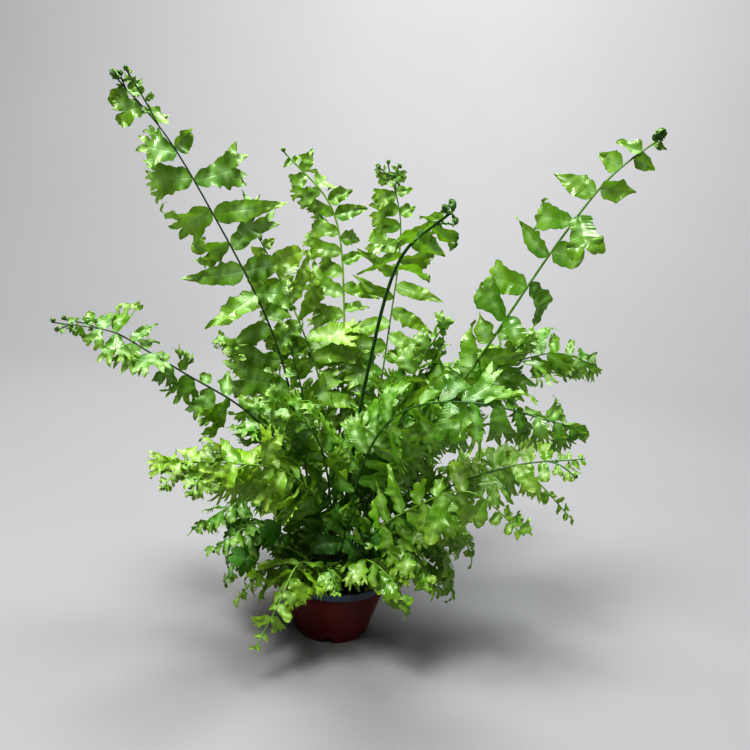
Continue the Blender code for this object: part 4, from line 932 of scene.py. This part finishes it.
def growFrond(growth, values, rib):
    draw, bareShare = growth.draw, values["bare"]
    count = round(rib.length / stalk["ringStep"])
    spots = [rib.at(rib.length * k / count) for k in range(count + 1)]
    widths = [[w * values["stout"] for w in thickness(k / count)] for k in range(count + 1)]
    coiled = coilSpots(spots[-1], values["coil"], values["knot"]) if values["coil"] else []
    tip = widths[-1]
    narrowing = [1.0 - 0.5 * k / len(coiled) for k in range(len(coiled))]
    growth.addRod(spots + coiled, widths + [(tip[0] * share, tip[1] * share) for share in narrowing])
    bare, leafy = bareShare * rib.length, rib.length - values["seen"]
    pairs = round((leafy - bare) / values["spacing"])
    crossed = dress(growth, values, rib.at, bare, leafy, 2 * pairs, values["size"],
                    lambda share: thickness(bareShare + (1.0 - bareShare) * share), not coiled)
    for fromTip, side, kind, length, width, sweep in values["leaflets"]:
        leaf = drawLeaf(habits[values["habit"]], length, width, draw, kind)
        distance = rib.length - fromTip
        for key in ("roll", "turn", "bend"):
            leaf[key] *= calm["keep"]
        angles = (sweep, draw.uniform(*calm["droop"]), draw.uniform(*calm["twist"]))
        crossed += hangLeaf(growth, leaf, rib.at(distance), side, angles, thickness(distance / rib.length),
                            values["tone"])
    if coiled:
        dressCoil(growth, coiled, values["knot"] * stalk["coilLeaves"], stalk["coilTone"])
    for at, *numbers in values["crest"]:
        growShoot(growth, values, rib.at(rib.length * at), *numbers)
    return crossed


firstSeed = 500
brownSpotSize = 3.6


def growPiece(name, values, number, ribs):
    growth = Growth(random.Random(firstSeed + number))
    crossed = growFrond(growth, values, ribs[0])
    for young, rib in zip(values["young"], ribs[1:]):
        ownValues = {**values, **{key: usual[key] for key in unshared}, **young}
        crossed += growFrond(growth, ownValues, rib)
    if values["spot"]:
        spot = Vector(values["spot"])
        growth.blemishes.append((min(growth.points, key=lambda p: (p - spot).length), brownSpotSize))
    piece = growth.build("fern_" + name, values["shade"], values["rib"] or values["shade"])
    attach(piece, "root")
    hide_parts("frond_" + name)
    return len(growth.faces), crossed


# Rough meshes of stalk and pot that leaflets keep clear of, in millimetres
rough = {"stalk": 0.8, "stalkTop": 0.6, "spots": 24, "run": 4, "segments": 24, "wall": 3.0}


def roughRod(spots):
    points, faces = [], []
    for place, _, side, upper in spots:
        top = upper * rough["stalkTop"]
        points += [place - side * rough["stalk"] + top, place + side * rough["stalk"] + top,
                   place - upper * rough["stalk"]]
    for k in range(0, len(points) - 3, 3):
        faces += [(k + a, k + (a + 1) % 3, k + 3 + (a + 1) % 3, k + 3 + a) for a in range(3)]
    return points, faces


def potSurface():
    rings = ((pot["foot"], 0.0), (pot["rim"], pot["height"] - pot["rimHeight"]),
             (pot["rim"], pot["height"]), (pot["rim"] - rough["wall"], soil["edgeHeight"]),
             (1.0, soil["crownHeight"]))
    segments = rough["segments"]
    points = [Vector((*spot, height)) for radius, height in rings for spot in circle(radius, segments)]
    faces = []
    for first in range(0, (len(rings) - 1) * segments, segments):
        second = first + segments
        faces += [(first + k, first + (k + 1) % segments, second + (k + 1) % segments, second + k)
                  for k in range(segments)]
    return points, faces


thicket.add(*potSurface())
ribs = {name: [Rib(one["root"], one["way"], one.get("face")) for one in (values, *values["young"])]
        for name, values in fronds.items()}
for rib in sum(ribs.values(), []):
    spots = [rib.at(rib.length * k / rough["spots"]) for k in range(2, rough["spots"] + 1)]
    for first in range(0, rough["spots"] - 2, rough["run"]):
        thicket.add(*roughRod(spots[first:first + rough["run"] + 1]))
total, crossings = 0, 0
for number, (name, values) in enumerate(fronds.items()):
    faces, crossed = growPiece(name, values, number, ribs[name])
    total += faces
    crossings += crossed
print("fronds grown:", len(fronds), "with", total, "faces;", crossings, "leaflets touch another")

# Wood sorrel: three folded hearts on a thin stalk
sorrelLeaf = {"length": 9.5, "width": 11.0, "fold": 0.28, "droop": (0.1, 0.3), "rows": 12, "columns": 12,
              "stalk": 0.42, "ringStep": 2.0, "tilt": (0, 12), "tone": (0.4, 0.6), "firstSeed": 900,
              "places": ((0, 0.0), (1, -30.0), (-1, -30.0))}    # side and sweep of the three
sorrels = {
    "upper": dict(root=(-20, -5), way=((-30, -22, 62), (-36, -34, 74))),
    "lower": dict(root=(-16, -16), way=((-38, -30, 50), (-50, -36, 57))),
    "right": dict(root=(13, -22), way=((20, -34, 58), (24, -42, 74))),
}
sorrelFace = (-0.1, -0.8, 0.6)


def heartGrid(start, flip, draw):
    place, out, across, face = start
    rows, columns = sorrelLeaf["rows"], sorrelLeaf["columns"]
    long, half = sorrelLeaf["length"], sorrelLeaf["width"] / 2
    droop = draw.uniform(*sorrelLeaf["droop"])
    wide = columns + 1
    points, faces, maps, reaches = [], [], [], []
    for i in range(rows + 1):
        share = i / rows
        for j in range(wide):
            t = 2.0 * j / columns - 1.0
            away = abs(t)
            # The end's outline: two rounded shoulders with a notch between them
            end = 1.0 + 0.13 * math.sin(math.pi * away) - 0.2 * (1.0 - away) ** 3 - 0.42 * away ** 4
            x = long * share * end
            y = half * t * math.sin(math.pi / 2 * min(1.0, share * 1.25 + 0.04)) ** 0.9
            rise = sorrelLeaf["fold"] * abs(y) - droop * x * x / long
            points.append(place + out * x + across * y + face * rise)
            reaches.append(0.25 * share)
    for i in range(rows):
        for j in range(columns):
            first = i * wide + j
            quad = (first, first + wide, first + wide + 1, first + 1)
            spots = [(k // wide / rows * long, 2.0 * (k % wide) / columns - 1.0) for k in quad]
            faces.append(quad if flip > 0 else quad[::-1])
            maps.append(spots if flip > 0 else spots[::-1])
    return points, faces, maps, reaches


def growSorrel(name, values, number):
    draw = random.Random(sorrelLeaf["firstSeed"] + number)
    growth = Growth(draw)
    rib = Rib(values["root"], values["way"], sorrelFace)
    count = round(rib.length / sorrelLeaf["ringStep"])
    spots = [rib.at(rib.length * k / count) for k in range(count + 1)]
    growth.addRod(spots, [(sorrelLeaf["stalk"], sorrelLeaf["stalk"])] * len(spots), shoot["sides"])
    for side, sweep in sorrelLeaf["places"]:
        tilt = math.radians(draw.uniform(*sorrelLeaf["tilt"]))
        start, flip = leafStart(spots[-1], side, math.radians(sweep), tilt, 0.0)
        growth.addLeaf(heartGrid(start, flip, draw), draw.uniform(*sorrelLeaf["tone"]))
    piece = growth.build("sorrel_" + name, "sorrel", "sorrel")
    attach(piece, "root")
    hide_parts("sorrel_leaf_" + name)


for number, (name, values) in enumerate(sorrels.items()):
    growSorrel(name, values, number)
print("wood sorrel grown")


plastic = {"maroon": (0.125, 0.011, 0.007), "maroonScuffs": (0.16, 0.03, 0.02), "maroonGloss": 0.34,
           "greyBlue": (0.06, 0.088, 0.13), "greyBlueScuffs": (0.13, 0.16, 0.21), "greyBlueGloss": 0.38,
           "shine": 0.5, "patches": 60.0, "lines": 700.0, "darker": 0.62, "relief": 0.25,
           "reliefDepth": 0.06}


def plasticMaterial(name, finish):
    made, tree, skin = newMaterial(name)
    patches = grain(tree, plastic["patches"])
    lines = grain(tree, plastic["lines"], 2.0)
    darker = [c * plastic["darker"] for c in plastic[finish]]
    worn = blendColours(tree, mapRange(tree, patches, 0.3, 0.72), darker, plastic[finish])
    scuffs = mapRange(tree, lines, 0.6, 0.8, 0.0, 0.3)
    worn = blendColours(tree, scuffs, worn, plastic[finish + "Scuffs"])
    gloss = plastic[finish + "Gloss"]
    roughness = mapRange(tree, patches, 0.3, 0.7, gloss - 0.06, gloss + 0.14)
    finishSkin(tree, skin, worn, roughness, plastic["shine"],
               plastic["relief"], plastic["reliefDepth"], lines)
    return made


def turnedMesh(name, profile, segments):
    shape = bmesh.new()
    rings = [[shape.verts.new((*spot, height)) for spot in circle(radius, segments if radius else 1)]
             for radius, height in profile]
    for lower, upper in zip(rings, rings[1:]):
        for k in range(segments):
            after = (k + 1) % segments
            corners = (lower[k % len(lower)], lower[after % len(lower)],
                       upper[after % len(upper)], upper[k % len(upper)])
            shape.faces.new(list(dict.fromkeys(corners)))
    bmesh.ops.recalc_face_normals(shape, faces=shape.faces)
    return finishedMesh(shape, name)


# Blocks to cut the drain notches with, all round the foot
def notchCutter():
    cutters = bmesh.new()
    spare = 3.0    # how far each block stands out of the pot
    for k in range(pot["notches"]):
        turn = Matrix.Rotation(math.tau * (k + 0.5) / pot["notches"], 4, "Z")
        place = Matrix.Translation(Vector((pot["foot"] + (spare - pot["notchDepth"]) / 2, 0.0,
                                           (pot["notchHeight"] - spare) / 2)) * mm)
        size = Matrix.Diagonal(((pot["notchDepth"] + spare) * mm, pot["notchWidth"] * mm,
                                (pot["notchHeight"] + spare) * mm, 1.0))
        bmesh.ops.create_cube(cutters, size=1.0, matrix=turn @ place @ size)
    return addObject("notchCutter", finishedMesh(cutters, "notchCutter"))


def makePot():
    shoulder = pot["height"] - pot["rimHeight"]
    rimOut, rimIn = pot["rim"], pot["rim"] - pot["wall"] - pot["lipRound"]
    # From the middle of the foot up the outside, over the lip and down to the floor inside
    profile = [(0.0, 0.0), (pot["foot"] - 0.5, 0.0), (pot["foot"] - 0.1, 0.15), (wallRadius(0.6), 0.6)]
    profile += [(wallRadius(h), h) for h in (4.0, 10.0, 16.0, 22.0, 28.0, shoulder - 0.5)]
    profile += [(wallRadius(shoulder) + 0.25, shoulder - 0.12), (rimOut - 0.35, shoulder + 0.1)]
    profile += [(rimOut, shoulder + 0.5)]
    for k in range(pot["lipSteps"] + 1):
        a = math.pi * k / pot["lipSteps"]
        profile.append((rimIn + (rimOut - rimIn) * (0.5 + 0.5 * math.cos(a)),
                        pot["height"] - pot["lipHeight"] + pot["lipHeight"] * math.sin(a)))
    profile += [(rimIn, shoulder + pot["lipRound"]), (wallRadius(shoulder) - pot["wall"], shoulder - 0.3)]
    profile += [(wallRadius(h) - pot["wall"], h) for h in (28.0, 20.0, 10.0, pot["floor"])]
    profile += [(0.0, pot["floor"])]
    mesh = turnedMesh("starterPot", [(r * mm, h * mm) for r, h in profile], pot["segments"])
    mesh.materials.append(plasticMaterial("potMaroon", "maroon"))
    mesh.materials.append(plasticMaterial("potGreyBlue", "greyBlue"))
    for face in mesh.polygons:
        height = face.center.z / mm
        onWall = math.hypot(face.center.x, face.center.y) > (wallRadius(height) - 0.5) * mm
        face.material_index = 0 if height < shoulder + 0.05 and (onWall or height < 0.5) else 1
        face.use_smooth = True
    piece = addObject("starterPot", mesh)
    cutter = notchCutter()
    notch = piece.modifiers.new("notches", "BOOLEAN")
    notch.object = cutter
    notch.solver = "EXACT"
    bpy.context.view_layer.update()
    cutResult = bpy.data.meshes.new_from_object(piece.evaluated_get(bpy.context.evaluated_depsgraph_get()))
    piece.modifiers.clear()
    piece.data = cutResult
    piece.data.set_sharp_from_angle(angle=math.radians(pot["sharpFrom"]))
    bpy.data.objects.remove(cutter)
    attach(piece, "root")
    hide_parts("pot")


makePot()
print("pot made")


earth = {"lumps": 420.0, "roughness": (0.75, 1.0), "shine": 0.3, "relief": 0.8, "reliefDepth": 0.5}
# Dark and light colour of each kind, and from where in the grain the light one shows
earths = {"soilDark": ((0.006, 0.0042, 0.003), (0.028, 0.017, 0.010), 0.55),
          "crumbDark": ((0.008, 0.0055, 0.004), (0.05, 0.03, 0.018), 0.5),
          "fibreBrown": ((0.05, 0.028, 0.014), (0.16, 0.09, 0.045), 0.45)}


def earthMaterial(name):
    dark, light, share = earths[name]
    made, tree, skin = newMaterial(name)
    lumps = grain(tree, earth["lumps"], 6.0)
    colour = blendColours(tree, mapRange(tree, lumps, share, share + 0.16), dark, light)
    finishSkin(tree, skin, colour, mapRange(tree, lumps, 0.3, 0.7, *earth["roughness"]), earth["shine"],
               earth["relief"], earth["reliefDepth"], lumps)
    return made


def soilTop(x, y):
    where = Vector((x, y, soil["lumpSeed"])) * soil["lumpScale"]
    lump = noise.fractal(where, 1.0, 2.0, 4) * soil["lumps"]
    inward = soilRadius - math.hypot(x, y)
    return soilHeight(x, y) + lump * max(0.0, min(1.0, inward / soil["evenRim"]))


def makeSoil():
    radius = soilRadius - soil["gap"]
    bottomRadius = wallRadius(pot["floor"]) - pot["wall"] - soil["footGap"]
    segments, rings = soil["segments"], soil["rings"]
    shape = bmesh.new()
    middle = shape.verts.new((0.0, 0.0, soilTop(0.0, 0.0)))
    rows = [[shape.verts.new((x, y, soilTop(x, y))) for x, y in circle(radius * i / rings, segments)]
            for i in range(1, rings + 1)]
    bottom = pot["floor"] + soil["gap"]
    rows.append([shape.verts.new((*spot, bottom)) for spot in circle(bottomRadius, segments)])
    for first, second in zip(rows, rows[1:]):
        for k in range(segments):
            shape.faces.new((first[k], second[k], second[(k + 1) % segments], first[(k + 1) % segments]))
    for k in range(segments):
        shape.faces.new((middle, rows[0][k], rows[0][(k + 1) % segments]))
    shape.faces.new(rows[-1][::-1])
    bmesh.ops.scale(shape, vec=(mm, mm, mm), verts=shape.verts)
    bmesh.ops.recalc_face_normals(shape, faces=shape.faces)
    mesh = finishedMesh(shape, "soilBed")
    mesh.polygons.foreach_set("use_smooth", [True] * len(mesh.polygons))
    mesh.materials.append(earthMaterial("soilDark"))
    piece = addObject("soilBed", mesh)
    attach(piece, "root")
    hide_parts("compost")


# Crumbs of bark and short fibres that lie on the compost
crumbs = {"count": 520, "size": (0.35, 1.25), "dent": (0.65, 1.2), "narrow": (0.5, 1.0), "flat": (0.4, 0.8),
          "sunk": 0.2, "fromEdge": 2.0, "seed": 77}
fibres = {"count": 70, "length": (2.5, 7.0), "thickness": (0.14, 0.3), "taper": 0.6, "sides": 5,
          "tilt": (78, 96), "above": 0.6}
anyTurn = (0, 6.3)


def makeCrumbs():
    draw = random.Random(crumbs["seed"])
    shape = bmesh.new()
    radius = soilRadius - crumbs["fromEdge"]

    def somewhere():
        r, a = radius * math.sqrt(draw.random()), draw.uniform(0.0, math.tau)
        return r * math.cos(a), r * math.sin(a)

    for _ in range(crumbs["count"]):
        x, y = somewhere()
        size = draw.uniform(*crumbs["size"])
        made = bmesh.ops.create_icosphere(shape, subdivisions=1, radius=size)["verts"]
        for vert in made:
            vert.co *= draw.uniform(*crumbs["dent"])
        squash = Matrix.Diagonal((1.0, draw.uniform(*crumbs["narrow"]), draw.uniform(*crumbs["flat"]), 1.0))
        axis = (draw.random(), draw.random(), draw.random())
        turn = Quaternion(axis, draw.uniform(*anyTurn)).to_matrix().to_4x4()
        place = Matrix.Translation((x, y, soilTop(x, y) + size * crumbs["sunk"]))
        bmesh.ops.transform(shape, matrix=place @ turn @ squash, verts=made)
    crumbFaces = len(shape.faces)
    for _ in range(fibres["count"]):
        x, y = somewhere()
        length, thick = draw.uniform(*fibres["length"]), draw.uniform(*fibres["thickness"])
        made = bmesh.ops.create_cone(shape, cap_ends=True, segments=fibres["sides"], radius1=thick,
                                     radius2=thick * fibres["taper"], depth=length)["verts"]
        tilt = Matrix.Rotation(math.radians(draw.uniform(*fibres["tilt"])), 4, "X")
        turn = Matrix.Rotation(draw.uniform(*anyTurn), 4, "Z")
        place = Matrix.Translation((x, y, soilTop(x, y) + fibres["above"]))
        bmesh.ops.transform(shape, matrix=place @ turn @ tilt, verts=made)
    for number, face in enumerate(shape.faces):
        face.material_index = 0 if number < crumbFaces else 1
    bmesh.ops.scale(shape, vec=(mm, mm, mm), verts=shape.verts)
    mesh = finishedMesh(shape, "soilCrumbs")
    mesh.materials.append(earthMaterial("crumbDark"))
    mesh.materials.append(earthMaterial("fibreBrown"))
    piece = addObject("soilCrumbs", mesh)
    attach(piece, "root")


makeSoil()
makeCrumbs()
print("compost made")

# The studio: a pale round sweep, soft lights and the camera
studio = {"floorRadius": 0.8, "bend": 1.0, "bendSteps": 12, "wallHeight": 1.8, "segments": 96,
          "paint": (0.195, 0.195, 0.198), "patches": 3.0, "skyColour": (0.93, 0.95, 1.0), "sky": 0.125}
lights = (
    # name, place and target in metres, size, watts, colour
    ("keySoftbox", (-0.45, -0.55, 1.25), (0.0, 0.0, 0.14), 0.5, 30.0, (1.0, 0.99, 0.97)),
    ("topSoftbox", (0.2, 0.2, 1.3), (0.0, 0.0, 0.12), 0.6, 18.0, (0.97, 0.99, 1.0)),
    ("fillSoftbox", (0.8, -0.7, 0.6), (0.0, 0.0, 0.14), 0.7, 1.6, (0.95, 0.98, 1.0)),
    ("wallWash", (0.1, 0.9, 1.45), (0.1, 1.8, 0.75), 1.0, 36.0, (1.0, 1.0, 1.0)),
)
cameraSpot = {"place": (0.0138, -0.4281, 0.2614), "turn": (76.95, -5.0, 1.16), "lens": 36.1, "sensor": 36.0}


def makeStudio():
    bend, steps = studio["bend"], studio["bendSteps"]
    rows = [(0.0, 0.0), (studio["floorRadius"], 0.0)]
    rows += [(studio["floorRadius"] + bend * math.sin(a), bend * (1.0 - math.cos(a)))
             for a in [math.pi / 2 * k / steps for k in range(1, steps + 1)]]
    rows += [(studio["floorRadius"] + bend, studio["wallHeight"])]
    mesh = turnedMesh("studioSweep", rows, studio["segments"])
    mesh.polygons.foreach_set("use_smooth", [True] * len(mesh.polygons))
    made, tree, skin = newMaterial("sweepPaint")
    worn = mapRange(tree, grain(tree, studio["patches"]), 0.3, 0.7)
    paint = blendColours(tree, worn, studio["paint"], [c * 0.97 for c in studio["paint"]])
    tree.links.new(paint, skin.inputs["Base Color"])
    skin.inputs["Roughness"].default_value = 0.9
    skin.inputs["Specular IOR Level"].default_value = 0.2
    mesh.materials.append(made)
    sweep = addObject("studioSweep", mesh)
    for name, place, target, size, watts, colour in lights:
        lamp = bpy.data.lights.new(name, "AREA")
        lamp.shape = "DISK"
        lamp.size, lamp.energy, lamp.color = size, watts, colour
        holder = addObject(name, lamp)
        holder.location = place
        holder.rotation_euler = (Vector(target) - Vector(place)).to_track_quat("-Z", "Y").to_euler()
    world = bpy.data.worlds.new("softSky")
    world.use_nodes = True
    sky = world.node_tree.nodes["Background"]
    sky.inputs[0].default_value = (*studio["skyColour"], 1.0)
    sky.inputs[1].default_value = studio["sky"]
    bpy.context.scene.world = world


def makeCamera():
    camera = bpy.data.cameras.new("viewCamera")
    camera.sensor_width, camera.lens = cameraSpot["sensor"], cameraSpot["lens"]
    camera.clip_start = 0.01
    holder = addObject("viewCamera", camera)
    holder.location = cameraSpot["place"]
    holder.rotation_euler = [math.radians(a) for a in cameraSpot["turn"]]
    bpy.context.scene.camera = holder


makeStudio()
makeCamera()
view = bpy.context.scene.view_settings
view.view_transform = "Standard"
view.look = "High Contrast"
print("studio and camera set")
